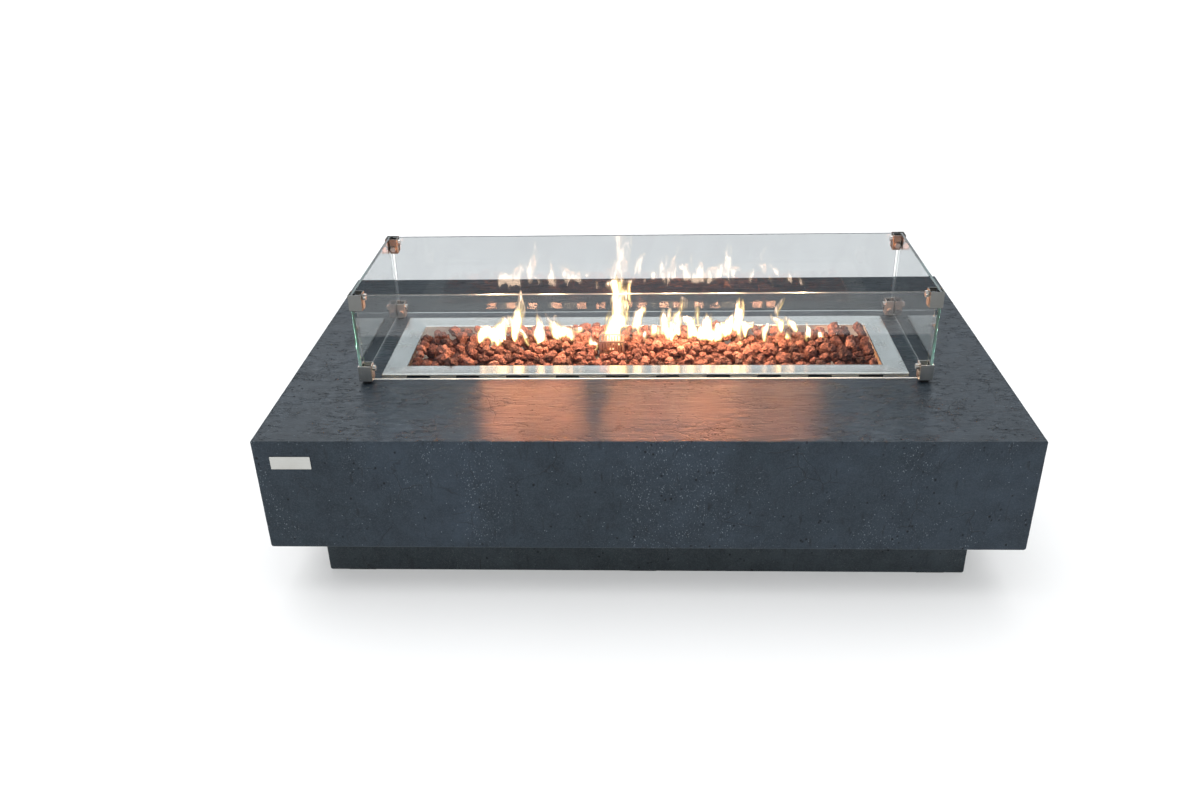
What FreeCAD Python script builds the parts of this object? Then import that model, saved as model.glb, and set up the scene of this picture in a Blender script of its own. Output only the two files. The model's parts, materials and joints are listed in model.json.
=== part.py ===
import FreeCAD, Part
import math
import os

V = FreeCAD.Vector

# ---------------------------------------------------------------------------
# Rectangular gas fire pit table: a hollow cast concrete slab on a recessed
# plinth, a stainless burner pan with a mitred rim, a linear burner under lava
# rock, a four-sided glass wind guard held by steel corner brackets, and the
# gas control on the right-hand end.
# Millimetres. +Z up, +X to the right along the length, -Y is the front.
# The origin is on the floor under the middle of the plinth.
# ---------------------------------------------------------------------------

# driving dimensions ---------------------------------------------------------
LENGTH = 1524.0          # slab, along X
DEPTH = 860.0            # slab, along Y
TOP_Z = 371.0            # table top above the floor
SLAB_H = 252.0           # height of the slab's sides
WALL = 16.0              # concrete wall of slab and plinth
TOP_T = 22.0             # concrete thickness of the table top
EDGE_R = 3.0             # eased edges of the slab
PLINTH_L = 1357.0
PLINTH_W = 693.0
PAD_T = 6.0              # soft floor pads, pressed flush with the plinth's underside by the table's weight
BOARD_T = 8.0            # fibre-cement board that closes the slab's underside

CUT_L, CUT_W = 1058.0, 238.0          # cut-out in the table top for the pan
RIM_L, RIM_W = 1128.0, 308.0          # outside of the pan's rim
PAN_L, PAN_W = 1033.0, 214.0          # inside of the pan's walls
SHEET = 1.6                           # stainless sheet
RIM_OUT_Z = TOP_Z + 8.8               # rim's outer edge
RIM_IN_Z = TOP_Z + 6.8                # rim's inner edge, dished down a little
PAN_FLOOR_Z = 286.0                   # top of the pan's floor
NOTCH_L, NOTCH_H, NOTCH_PITCH = 51.0, 5.2, 107.6

GLASS_T = 6.0
GUARD_L, GUARD_W = 1203.0, 368.0      # outside faces of the glass
GLASS_GAP = 5.0                       # gap between the long and the short panes
GLASS_Z0 = TOP_Z + 10.5
GLASS_H = 192.5
BR = 28.0                             # corner bracket, side of its square plan
BR_T = 2.0
BR_H = 35.0
FOOT_H = 6.7

BURNER_L, BURNER_R, BURNER_Y, BURNER_Z = 840.0, 12.5, 12.0, 330.0
FEED_X = 120.0

PANEL_Y, PANEL_Z = 0.0, 245.0
KNOB_Y, IGN_Y = 45.0, -45.0
KNOB_R = 25.0
PUSH = 5.0                            # knob travel
BUTTON_PUSH = 4.0

SLAB_Z = TOP_Z - SLAB_H               # underside of the slab
HX, HY = LENGTH / 2, DEPTH / 2
IX, IY = HX - WALL, HY - WALL         # inside faces of the slab's walls
PX, PY = PLINTH_L / 2, PLINTH_W / 2
BOARD_Z1 = SLAB_Z + BOARD_T

os.makedirs("parts", exist_ok=True)


def save(name, shape):
    solids = shape.Solids
    assert solids, name
    for s in solids:
        assert s.isValid() and s.Volume > 0.5, (name, s.Volume)
    out = solids[0] if len(solids) == 1 else Part.makeCompound(solids)
    out.exportStep("parts/%s.step" % name)
    print("%-24s %2d solids %12.0f mm3" % (name, len(solids), sum(s.Volume for s in solids)))


def group(name, shapes):
    save(name, Part.makeCompound([s for sh in shapes for s in sh.Solids]))


def box(x0, x1, y0, y1, z0, z1):
    x0, x1 = sorted((x0, x1))
    y0, y1 = sorted((y0, y1))
    z0, z1 = sorted((z0, z1))
    return Part.makeBox(x1 - x0, y1 - y0, z1 - z0, V(x0, y0, z0))


def cyl(x, y, z, r, h, d=(0, 0, 1)):
    return Part.makeCylinder(r, h, V(x, y, z), V(*d))


def rbox(x0, x1, y0, y1, z0, z1, r, d="z"):
    """Box with its four edges along one axis rounded."""
    b = box(x0, x1, y0, y1, z0, z1)
    want = {"x": V(1, 0, 0), "y": V(0, 1, 0), "z": V(0, 0, 1)}[d]
    edges = [e for e in b.Edges if abs(e.tangentAt(e.FirstParameter).dot(want)) > 0.99]
    return b.makeFillet(r, edges)


def hexa(x, y, z, flat, h, d=(0, 0, 1), turn=0.0):
    """Hexagonal prism, flat is the size across flats."""
    r = flat / math.sqrt(3)
    n = V(*d)
    n.normalize()
    u = V(1, 0, 0) if abs(n.x) < 0.9 else V(0, 1, 0)
    u = (u - n * u.dot(n)).normalize()
    w = n.cross(u)
    pts = []
    for i in range(7):
        a = math.radians(60 * i + turn)
        pts.append(V(x, y, z) + u * (r * math.cos(a)) + w * (r * math.sin(a)))
    return Part.Face(Part.makePolygon(pts)).extrude(n * h)


def star(x, y, z, r, h, d, lobes=6, turn=0.0):
    """Clamp-screw head: a short drum with flutes round its rim."""
    n = V(*d)
    n.normalize()
    u = V(0, 0, 1)
    w = n.cross(u)
    body = Part.makeCylinder(r, h, V(x, y, z), n)
    for i in range(lobes):
        a = math.radians(360.0 / lobes * i + turn)
        c = V(x, y, z) + u * (r * 1.12 * math.cos(a)) + w * (r * 1.12 * math.sin(a)) - n * 1
        body = body.cut(Part.makeCylinder(r * 0.30, h + 2, c, n))
    return body


def route(points, radii=None):
    """Straight runs joined by tangent arcs; returns the wire and its length."""
    p = [V(*q) for q in points]
    edges, start, out = [], p[0], []
    for i in range(1, len(p) - 1):
        a, b = p[i] - p[i - 1], p[i + 1] - p[i]
        la, lb = a.Length, b.Length
        ua, ub = a * (1 / la), b * (1 / lb)
        turn = ua.getAngle(ub)
        r = (radii or {}).get(i, 0.45 * min(la, lb) / math.tan(turn / 2))
        t = r * math.tan(turn / 2)
        p0, p1 = p[i] - ua * t, p[i] + ub * t
        bis = (ub - ua).normalize()
        centre = p[i] + bis * (r / math.cos(turn / 2))
        mid = centre - bis * r
        edges.append(Part.LineSegment(start, p0).toShape())
        edges.append(Part.Arc(p0, mid, p1).toShape())
        out.append((round(r, 1), round(math.degrees(turn))))
        start = p1
    edges.append(Part.LineSegment(start, p[-1]).toShape())
    w = Part.Wire(edges)
    return w, w.Length, out


def tube(name, points, r, radii=None):
    w, length, arcs = route(points, radii)
    first = V(*points[1]) - V(*points[0])
    prof = Part.Wire(Part.Circle(V(*points[0]), first.normalize(), r).toShape())
    s = w.makePipeShell([prof], True, False)
    s = Part.Solid(s) if s.ShapeType == "Shell" else s
    want = math.pi * r * r * length
    assert abs(abs(s.Volume) - want) < 0.02 * want, (name, s.Volume, want)
    print("%-24s length %.0f arcs (radius, turn) %s" % (name, length, arcs))
    return s


def spring(x, y, z, r, wire, pitch, turns):
    """Compression spring along +X from x, of eight-sided wire."""
    h = Part.makeHelix(pitch, pitch * turns, r)
    e = h.Edges[0]
    p0 = e.valueAt(e.FirstParameter)
    t0 = e.tangentAt(e.FirstParameter)
    w = t0.cross(V(1, 0, 0)).normalize()
    u = w.cross(t0).normalize()
    pts = []
    for i in range(9):
        a = 2 * math.pi * (i % 8) / 8
        pts.append(p0 + u * (wire / 2 * math.cos(a)) + w * (wire / 2 * math.sin(a)))
    s = h.makePipeShell([Part.makePolygon(pts)], True, True)
    s.rotate(V(0, 0, 0), V(0, 1, 0), 90)
    s.translate(V(x, y, z))
    return s


def four(shape):
    """The same piece at the four corners of the guard."""
    a = shape.mirror(V(0, 0, 0), V(1, 0, 0))
    b = shape.mirror(V(0, 0, 0), V(0, 1, 0))
    c = a.mirror(V(0, 0, 0), V(0, 1, 0))
    return [shape, a, b, c]


# ---------------------------------------------------------------------------
# concrete slab
# ---------------------------------------------------------------------------
outer = box(-HX, HX, -HY, HY, SLAB_Z, TOP_Z)
outer = outer.makeFillet(EDGE_R, outer.Edges)
shell = outer.cut(box(-IX, IX, -IY, IY, SLAB_Z - 1, TOP_Z - TOP_T))
shell = shell.cut(rbox(-CUT_L / 2, CUT_L / 2, -CUT_W / 2, CUT_W / 2, TOP_Z - TOP_T - 1, TOP_Z + 1, 8))
# opening behind the control panel and the pilot holes of its screws
WIN_Y, WIN_Z = 70.0, 33.0
shell = shell.cut(rbox(IX - 1, HX + 1, PANEL_Y - WIN_Y, PANEL_Y + WIN_Y, PANEL_Z - WIN_Z, PANEL_Z + WIN_Z, 8, "x"))
SCREW_Y, SCREW_Z = 82.0, 42.0
screw_at = [(PANEL_Y + sy * SCREW_Y, PANEL_Z + sz * SCREW_Z) for sy in (-1, 1) for sz in (-1, 1)]
for y, z in screw_at:
    shell = shell.cut(cyl(HX - 13, y, z, 2.0, 14, (1, 0, 0)))

# fixing angles between the slab's walls and the board, three on each long
# side and two on each end
ANG, ANG_T, ANG_W = 38.0, 3.0, 40.0
BOLT_R = 3.0
angles, angle_bolts, board_holes, wall_holes = [], [], [], []


def angle_at(x, y, nx, ny, z_leg, up):
    """Angle whose upright leg lies on the wall at (x, y); (nx, ny) points inward.

    up = +1: it stands on the board; up = -1: it hangs under the board."""
    tx, ty = abs(ny), abs(nx)
    hw = ANG_W / 2

    def slab(d0, d1, z0, z1):
        xs = (x + nx * d0, x + nx * d1) if nx else (x - hw, x + hw)
        ys = (y + ny * d0, y + ny * d1) if ny else (y - hw, y + hw)
        return box(xs[0], xs[1], ys[0], ys[1], z0, z1)

    za, zb = (z_leg, z_leg + ANG) if up > 0 else (z_leg - ANG, z_leg)
    leg = (z_leg, z_leg + ANG_T) if up > 0 else (z_leg - ANG_T, z_leg)
    a = slab(0, ANG_T, za, zb).fuse(slab(0, ANG, *leg)).removeSplitter()
    bx, by = x + nx * 22, y + ny * 22
    zc = z_leg + up * 24
    a = a.cut(cyl(bx, by, z_leg - 5, BOLT_R + 0.3, 10))
    a = a.cut(Part.makeCylinder(BOLT_R + 0.3, 8, V(x - nx * 2, y - ny * 2, zc), V(nx, ny, 0)))
    return a, bx, by, zc


def wall_bolt(x, y, zc, nx, ny):
    """Hexagon bolt into a threaded insert in the concrete wall."""
    d = V(nx, ny, 0)
    p = V(x, y, zc) + d * ANG_T
    head = hexa(p.x, p.y, p.z, 10, 4, (nx, ny, 0))
    q = V(x, y, zc) - d * 10
    return head.fuse(Part.makeCylinder(BOLT_R - 0.05, 10 + ANG_T, q, d))


def insert_hole(x, y, zc, nx, ny):
    return Part.makeCylinder(BOLT_R, 12, V(x, y, zc) - V(nx, ny, 0) * 11, V(nx, ny, 0))


spots = [(x, s * IY, 0, -s) for s in (-1, 1) for x in (-480.0, 0.0, 480.0)]
spots += [(s * IX, y, -s, 0) for s in (-1, 1) for y in (-300.0, 300.0)]
for x, y, nx, ny in spots:
    a, bx, by, zc = angle_at(x, y, nx, ny, BOARD_Z1, +1)
    angles.append(a)
    board_holes.append((bx, by))
    shell = shell.cut(insert_hole(x, y, zc, nx, ny))
    angle_bolts.append(wall_bolt(x, y, zc, nx, ny))
    bolt = hexa(bx, by, SLAB_Z - 4, 10, 4).fuse(cyl(bx, by, SLAB_Z, BOLT_R - 0.05, BOARD_T + ANG_T + 7))
    nut = hexa(bx, by, BOARD_Z1 + ANG_T, 10, 5)
    angle_bolts.append(bolt.fuse(nut).removeSplitter())
save("table_shell", shell)
group("shell_angles", angles)
group("shell_angle_bolts", angle_bolts)

# ---------------------------------------------------------------------------
# plinth, its angles and pads
# ---------------------------------------------------------------------------
plinth = box(-PX, PX, -PY, PY, 0, SLAB_Z)
plinth = plinth.makeFillet(EDGE_R, [e for e in plinth.Edges if abs(e.tangentAt(e.FirstParameter).z) > 0.9])
plinth = plinth.cut(box(-PX + WALL, PX - WALL, -PY + WALL, PY - WALL, -1, SLAB_Z + 1))
pads = []
pad_spots = [(sx * (PX - 70), sy * (PY - WALL / 2), 30, 5.5) for sx in (-1, 1) for sy in (-1, 1)]
pad_spots += [(0, sy * (PY - WALL / 2), 30, 5.5) for sy in (-1, 1)]
pad_spots += [(sx * (PX - WALL / 2), 0, 5.5, 30) for sx in (-1, 1)]
for x, y, a, b in pad_spots:
    plinth = plinth.cut(box(x - a - 0.3, x + a + 0.3, y - b - 0.3, y + b + 0.3, -1, PAD_T))
    pads.append(rbox(x - a, x + a, y - b, y + b, 0, PAD_T, 2))
p_angles, p_bolts = [], []
p_spots = [(x, s * (PY - WALL), 0, -s) for s in (-1, 1) for x in (-450.0, 450.0)]
p_spots += [(s * (PX - WALL), 0.0, -s, 0) for s in (-1, 1)]
for x, y, nx, ny in p_spots:
    a, bx, by, zc = angle_at(x, y, nx, ny, SLAB_Z, -1)
    p_angles.append(a)
    board_holes.append((bx, by))
    plinth = plinth.cut(insert_hole(x, y, zc, nx, ny))
    p_bolts.append(wall_bolt(x, y, zc, nx, ny))
    z0 = SLAB_Z - ANG_T
    bolt = hexa(bx, by, z0 - 4, 10, 4).fuse(cyl(bx, by, z0, BOLT_R - 0.05, BOARD_T + ANG_T + 7))
    p_bolts.append(bolt.fuse(hexa(bx, by, BOARD_Z1, 10, 5)).removeSplitter())
save("base_plinth", plinth)
group("floor_pads", pads)
group("plinth_angles", p_angles)
group("plinth_angle_bolts", p_bolts)

# underside board with the access opening and two rows of air slots
INLET_X, INLET_Y = -714.0, 230.0
board = box(-IX + 0.5, IX - 0.5, -IY + 0.5, IY - 0.5, SLAB_Z, BOARD_Z1)
board = board.cut(rbox(-445, 445, -195, 195, SLAB_Z - 1, BOARD_Z1 + 1, 20))
for x, y in board_holes:
    board = board.cut(cyl(x, y, SLAB_Z - 1, BOLT_R + 0.3, BOARD_T + 2))
for sy in (-1, 1):
    for i in range(9):
        x = -400 + 100 * i
        board = board.cut(rbox(x - 30, x + 30, sy * 378 - 4, sy * 378 + 4, SLAB_Z - 1, BOARD_Z1 + 1, 3.5)
                          if abs(x - 0) > 60 and abs(abs(x) - 480) > 60 else box(0, 1, 0, 1, -50, -49))
board = board.cut(cyl(INLET_X, INLET_Y, SLAB_Z - 1, 8.4, BOARD_T + 2))
save("underside_board", board)

# blank name plate on the front face, near the left end
BADGE_X, BADGE_Z = -689.0, 323.0
badge = rbox(BADGE_X - 40, BADGE_X + 40, -HY - 1.2, -HY, BADGE_Z - 14, BADGE_Z + 14, 1.0, "y")
save("badge_plate", badge)

# ---------------------------------------------------------------------------
# burner pan: one folded stainless tray with a mitred, slightly dished rim and
# a down-turned lip with air notches
# ---------------------------------------------------------------------------
rx, ry = RIM_L / 2, RIM_W / 2
qx, qy = PAN_L / 2, PAN_W / 2
pan = box(-qx - SHEET, qx + SHEET, -qy - SHEET, qy + SHEET, PAN_FLOOR_Z - SHEET, RIM_IN_Z - SHEET * 0.5)
pan = pan.cut(box(-qx, qx, -qy, qy, PAN_FLOOR_Z, RIM_IN_Z + 5))
o = [V(-rx, -ry, RIM_OUT_Z), V(rx, -ry, RIM_OUT_Z), V(rx, ry, RIM_OUT_Z), V(-rx, ry, RIM_OUT_Z)]
n = [V(-qx, -qy, RIM_IN_Z), V(qx, -qy, RIM_IN_Z), V(qx, qy, RIM_IN_Z), V(-qx, qy, RIM_IN_Z)]
rim = None
for i in range(4):
    j = (i + 1) % 4
    f = Part.Face(Part.makePolygon([o[i], o[j], n[j], n[i], o[i]]))
    s = f.extrude(V(0, 0, -SHEET))
    rim = s if rim is None else rim.fuse(s)
lip = box(-rx, rx, -ry, ry, TOP_Z, RIM_OUT_Z - 0.4)
lip = lip.cut(box(-rx + SHEET, rx - SHEET, -ry + SHEET, ry - SHEET, TOP_Z - 1, RIM_OUT_Z + 1))
for i in range(10):
    x = (i - 4.5) * NOTCH_PITCH
    lip = lip.cut(box(x - NOTCH_L / 2, x + NOTCH_L / 2, -ry - 5, -ry + 5, TOP_Z - 1, TOP_Z + NOTCH_H))
    lip = lip.cut(box(x - NOTCH_L / 2, x + NOTCH_L / 2, ry - 5, ry + 5, TOP_Z - 1, TOP_Z + NOTCH_H))
for y in (-NOTCH_PITCH / 2, NOTCH_PITCH / 2):
    for sx in (-1, 1):
        lip = lip.cut(box(sx * rx - 5, sx * rx + 5, y - NOTCH_L / 2, y + NOTCH_L / 2, TOP_Z - 1, TOP_Z + NOTCH_H))
pan = pan.fuse([rim, lip]).removeSplitter()
# holes in the floor: burner feed, pilot tube, thermocouple lead, igniter lead
PIL_X, PIL_Y = -69.0, -20.0
TC_X, TC_Y = -50.0, -32.0
EL_X, EL_Y = -88.0, -32.0
for x, y, r in ((FEED_X, BURNER_Y, 10.0), (PIL_X, PIL_Y, 3.5), (TC_X, TC_Y, 2.0), (EL_X, EL_Y, 2.5)):
    pan = pan.cut(cyl(x, y, PAN_FLOOR_Z - 5, r, 10))
STAND = [(sx * 380.0, sy * 70.0) for sx in (-1, 1) for sy in (-1, 1)]
for x, y in STAND:
    pan = pan.cut(cyl(x, y, PAN_FLOOR_Z - 5, 3.2, 10))
save("burner_pan", pan)

# linear burner: a closed tube with two rows of ports and a feed stub
half = BURNER_L / 2
bt = cyl(-half, BURNER_Y, BURNER_Z, BURNER_R, BURNER_L, (1, 0, 0))
bore = cyl(-half + 2, BURNER_Y, BURNER_Z, BURNER_R - 1.5, BURNER_L - 4, (1, 0, 0))
STUB_R = 9.5
stub_z0 = 262.0
stub = cyl(FEED_X, BURNER_Y, stub_z0, STUB_R, BURNER_Z - stub_z0)
bt = bt.fuse(stub).cut(bore).cut(cyl(FEED_X, BURNER_Y, stub_z0 - 1, STUB_R - 1.5, BURNER_Z - stub_z0 + 1))
ports = []
for i in range(33):
    x = -400 + 25 * i
    for s in (-1, 1):
        d = V(0, s * math.sin(math.radians(28)), math.cos(math.radians(28)))
        ports.append(Part.makeCylinder(1.3, 6, V(x, BURNER_Y, BURNER_Z) + d * (BURNER_R - 4), d))
bt = bt.cut(Part.makeCompound(ports))
save("burner_tube", bt)

saddles = []
for x in (-300.0, 330.0):
    s = box(x - 10, x + 10, BURNER_Y - 16, BURNER_Y + 16, PAN_FLOOR_Z, BURNER_Z)
    s = s.cut(box(x - 11, x + 11, BURNER_Y - 14, BURNER_Y + 14, PAN_FLOOR_Z + 2, BURNER_Z - BURNER_R - 2.2))
    s = s.cut(cyl(x - 11, BURNER_Y, BURNER_Z, BURNER_R + 0.1, 22, (1, 0, 0)))
    saddles.append(s)
group("burner_saddles", saddles)

# lock nut, air mixer with its orifice, and elbow under the pan
fl = PAN_FLOOR_Z - SHEET
nut = hexa(FEED_X, BURNER_Y, fl - 7, 30, 7).cut(cyl(FEED_X, BURNER_Y, fl - 8, STUB_R + 0.05, 9))
save("feed_lock_nut", nut)
MIX_Z0, MIX_Z1 = 232.0, fl - 7
mix = cyl(FEED_X, BURNER_Y, MIX_Z0, 13, MIX_Z1 - MIX_Z0).cut(cyl(FEED_X, BURNER_Y, stub_z0, STUB_R + 0.05, 40))
mix = mix.cut(cyl(FEED_X, BURNER_Y, MIX_Z0 + 8, 8, stub_z0 - MIX_Z0))
mix = mix.cut(cyl(FEED_X, BURNER_Y, MIX_Z0 - 1, 1.2, 20))
mix = mix.cut(cyl(FEED_X - 20, BURNER_Y, MIX_Z0 + 20, 4, 40, (1, 0, 0)))
save("air_mixer", mix)
EL_Z = 220.0
elbow = cyl(FEED_X, BURNER_Y, EL_Z - 9, 9, MIX_Z0 - EL_Z + 9)
elbow = elbow.fuse(cyl(FEED_X, BURNER_Y, EL_Z, 8.5, 32, (1, 0, 0))).fuse(hexa(FEED_X + 32, BURNER_Y, EL_Z, 22, 14, (1, 0, 0)))
elbow = elbow.removeSplitter()
save("feed_elbow", elbow)

# heat shield on four standoffs
SH_Z = 206.0
shield = box(-480, 480, -100, 100, SH_Z - 1.2, SH_Z)
shield = shield.fuse([box(-480, 480, s * 100, s * 98.8, SH_Z - 1.2, SH_Z + 12) for s in (-1, 1)])
for x, y in STAND:
    shield = shield.cut(cyl(x, y, SH_Z - 5, 3.2, 10))
save("heat_shield", shield.removeSplitter())
stand, sscrews = [], []
for x, y in STAND:
    s = hexa(x, y, SH_Z, 10, fl - SH_Z)
    s = s.cut(cyl(x, y, SH_Z - 1, 2.6, 11)).cut(cyl(x, y, fl - 10, 2.6, 11))
    stand.append(s)
    sscrews.append(cyl(x, y, SH_Z - 1.2 - 3, 5, 3).fuse(cyl(x, y, SH_Z - 1.2, 2.5, 10)))
    sscrews.append(cyl(x, y, PAN_FLOOR_Z, 5, 2.5).fuse(cyl(x, y, PAN_FLOOR_Z - 10, 2.5, 10)))
group("shield_standoffs", stand)
group("shield_screws", sscrews)

# ---------------------------------------------------------------------------
# pilot: slotted guard, bracket, hood, electrode, thermocouple
# ---------------------------------------------------------------------------
GX0, GX1, GY0, GY1 = -97.0, -41.0, -46.0, -6.0
G_TOP = 406.0
gt = 1.2
cage = box(GX0, GX1, GY0, GY1, PAN_FLOOR_Z, G_TOP).cut(box(GX0 + gt, GX1 - gt, GY0 + gt, GY1 - gt, PAN_FLOOR_Z - 1, G_TOP - gt))
cuts = []
for i in range(8):
    x = (GX0 + GX1) / 2 + (i - 3.5) * 6.2
    cuts.append(box(x - 1.6, x + 1.6, GY0 - 2, GY1 + 2, G_TOP - 46, G_TOP - 5))
    cuts.append(box(x - 1.6, x + 1.6, GY0 + 5, GY1 - 5, G_TOP - 5, G_TOP + 5))
for i in range(5):
    y = (GY0 + GY1) / 2 + (i - 2) * 6.2
    cuts.append(box(GX0 - 2, GX1 + 2, y - 1.6, y + 1.6, G_TOP - 46, G_TOP - 5))
cage = cage.cut(Part.makeCompound(cuts))
save("pilot_guard", cage)

PB_Z = 330.0
brk = box(-94, -44, -42, -10, PB_Z, PB_Z + 2)
brk = brk.fuse([box(-94, -92, -42, -10, PAN_FLOOR_Z, PB_Z), box(-46, -44, -42, -10, PAN_FLOOR_Z, PB_Z)]).removeSplitter()
for x, y, r in ((PIL_X, PIL_Y, 4.6), (TC_X, TC_Y, 2.1), (EL_X, EL_Y, 2.6)):
    brk = brk.cut(cyl(x, y, PB_Z - 2, r, 6))
save("pilot_bracket", brk)
hood = cyl(PIL_X, PIL_Y, PB_Z - 22, 4.5, 50).fuse(hexa(PIL_X, PIL_Y, PB_Z - 14, 12, 10))
hood = hood.fuse(rbox(PIL_X - 7, PIL_X + 7, PIL_Y - 6, PIL_Y + 6, PB_Z + 28, PB_Z + 46, 2))
hood = hood.cut(box(PIL_X - 5, PIL_X + 5, PIL_Y - 9, PIL_Y + 4, PB_Z + 31, PB_Z + 43))
hood = hood.cut(cyl(PIL_X, PIL_Y, PB_Z - 23, 3.05, 16)).removeSplitter()
save("pilot_hood", hood)
elec = cyl(EL_X, EL_Y, PB_Z - 22, 2.5, 50)
elec = elec.cut(cyl(EL_X, EL_Y, PB_Z - 23, 1.85, 14)).cut(cyl(EL_X, EL_Y, PB_Z + 18, 0.85, 12))
save("electrode_insulator", elec)
pin = cyl(EL_X, EL_Y, PB_Z + 18, 0.8, 24)
pin = pin.fuse(Part.makeCylinder(0.65, 9, V(EL_X, EL_Y, PB_Z + 40.5), V(1, 0.45, 0)))
save("electrode_pin", pin)
tc = cyl(TC_X, TC_Y, PB_Z - 22, 2.0, 66)
tc = tc.cut(cyl(TC_X, TC_Y, PB_Z - 23, 1.55, 12))
save("thermocouple_probe", tc)

# ---------------------------------------------------------------------------
# control panel, valve, knob
# ---------------------------------------------------------------------------
panel = rbox(HX, HX + 2, PANEL_Y - 95, PANEL_Y + 95, PANEL_Z - 52, PANEL_Z + 52, 8, "x")
panel = panel.cut(cyl(HX - 1, KNOB_Y, PANEL_Z, 10.2, 4, (1, 0, 0))).cut(cyl(HX - 1, IGN_Y, PANEL_Z, 11.2, 4, (1, 0, 0)))
for y, z in screw_at:
    panel = panel.cut(cyl(HX - 1, y, z, 2.2, 4, (1, 0, 0)))
save("control_panel", panel)
ps = []
for y, z in screw_at:
    head = cyl(HX + 2, y, z, 4, 2.4, (1, 0, 0))
    head = head.makeFillet(1.0, [e for e in head.Edges if e.BoundBox.XMin > HX + 4])
    head = head.cut(box(HX + 3.4, HX + 6, y - 2.2, y + 2.2, z - 0.5, z + 0.5)).cut(box(HX + 3.4, HX + 6, y - 0.5, y + 0.5, z - 2.2, z + 2.2))
    ps.append(head.fuse(cyl(HX - 12, y, z, 1.9, 14, (1, 0, 0))))
group("panel_screws", ps)

VX0, VX1 = 668.0, 737.0
NOSE_END = HX + 6.0
valve = rbox(VX0, VX1, KNOB_Y - 25, KNOB_Y + 25, PANEL_Z - 25, PANEL_Z + 25, 6, "x")
valve = valve.fuse([
    cyl(VX1 - 2, KNOB_Y, PANEL_Z, 13, HX - 1 - VX1 + 2, (1, 0, 0)),
    cyl(HX - 2, KNOB_Y, PANEL_Z, 10, NOSE_END - HX + 2, (1, 0, 0)),
    cyl(690, KNOB_Y + 24, PANEL_Z, 8, 9, (0, 1, 0)),
    hexa(690, KNOB_Y + 33, PANEL_Z, 20, 12, (0, 1, 0)),
    cyl(VX0 - 8, KNOB_Y, PANEL_Z, 8, 10, (1, 0, 0)),
    hexa(VX0 - 20, KNOB_Y, PANEL_Z, 20, 12, (1, 0, 0)),
    hexa(VX0 - 8, KNOB_Y - 17, PANEL_Z + 18, 9, 9, (1, 0, 0)),
    hexa(VX0 - 8, KNOB_Y - 17, PANEL_Z - 18, 8, 9, (1, 0, 0)),
])
CH0, CH1 = VX1 - 1.0, HX - 5.0       # spring chamber inside the nose
valve = valve.cut(cyl(CH0, KNOB_Y, PANEL_Z, 9.1, CH1 - CH0, (1, 0, 0)))
valve = valve.cut(cyl(CH1 - 1, KNOB_Y, PANEL_Z, 4.05, NOSE_END - CH1 + 2, (1, 0, 0)))
# sockets for the hose, connector, pilot tube and thermocouple lead
valve = valve.cut(cyl(690, KNOB_Y + 41, PANEL_Z, 5.6, 5, (0, 1, 0)))
valve = valve.cut(cyl(VX0 - 21, KNOB_Y, PANEL_Z, 7.1, 5, (1, 0, 0)))
valve = valve.cut(cyl(VX0 - 9, KNOB_Y - 17, PANEL_Z + 18, 3.05, 5, (1, 0, 0)))
valve = valve.cut(cyl(VX0 - 9, KNOB_Y - 17, PANEL_Z - 18, 1.55, 5, (1, 0, 0)))
save("gas_valve", valve.removeSplitter())
vn = hexa(HX + 2, KNOB_Y, PANEL_Z, 26, 3.5, (1, 0, 0)).cut(cyl(HX + 1, KNOB_Y, PANEL_Z, 10.05, 6, (1, 0, 0)))
save("valve_nut", vn)
PL0 = CH1 - 6.0
plunger = cyl(PL0, KNOB_Y, PANEL_Z, 9.0, 6, (1, 0, 0)).cut(cyl(PL0 + 2, KNOB_Y, PANEL_Z, 4.05, 5, (1, 0, 0)))
save("valve_plunger", plunger)
save("valve_spring", spring(CH0 + 0.9, KNOB_Y, PANEL_Z, 6.8, 1.2, 2.6, (PL0 - CH0 - 1.8) / 2.6))
KX0 = HX + 12.0                       # knob's back edge: 6 mm in front of the nose
KX1 = KX0 + 25.0
stem = cyl(PL0 + 2, KNOB_Y, PANEL_Z, 4.0, KX1 - 6 - PL0 - 2, (1, 0, 0))
stem = stem.cut(box(KX0 - 0.5, KX1, KNOB_Y + 2.8, KNOB_Y + 6, PANEL_Z - 6, PANEL_Z + 6))
save("valve_stem", stem)
# knob: a skirt, a tapered drum and a grip bar with a pointer groove
prof = [V(KX0, 0, 0), V(KX0, KNOB_R, 0), V(KX0 + 4, KNOB_R, 0), V(KX0 + 6.5, KNOB_R - 2.5, 0), V(KX0 + 9, KNOB_R - 5, 0),
        V(KX0 + 15, KNOB_R - 6.5, 0), V(KX0 + 16, KNOB_R - 8, 0), V(KX0 + 16, 0, 0), V(KX0, 0, 0)]
knob = Part.Face(Part.makePolygon(prof)).revolve(V(0, 0, 0), V(1, 0, 0), 360)
knob = Part.Solid(knob.Shells[0]) if knob.ShapeType != "Solid" else knob
bar = rbox(KX0 + 8, KX1, -6.5, 6.5, -19.5, 19.5, 3, "x")
bar = bar.makeFillet(1.5, [e for e in bar.Edges if e.BoundBox.XMin > KX1 - 0.01])
knob = knob.fuse(bar).removeSplitter()
knob = knob.cut(box(KX1 - 1.0, KX1 + 1, -0.8, 0.8, 8, 25))
knob = knob.cut(cyl(KX0 - 1, 0, 0, KNOB_R - 3, 5, (1, 0, 0)))
sock = cyl(KX0 - 1, 0, 0, 4.0, KX1 - 6 - KX0 + 1, (1, 0, 0))
sock = sock.cut(box(KX0 - 2, KX1, 2.8, 6, -6, 6))
knob = knob.cut(sock)
knob = knob.fuse(cyl(KX0, 0, 0, 8, 5, (1, 0, 0)).cut(sock)).removeSplitter()
knob.translate(V(0, KNOB_Y, PANEL_Z))
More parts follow.
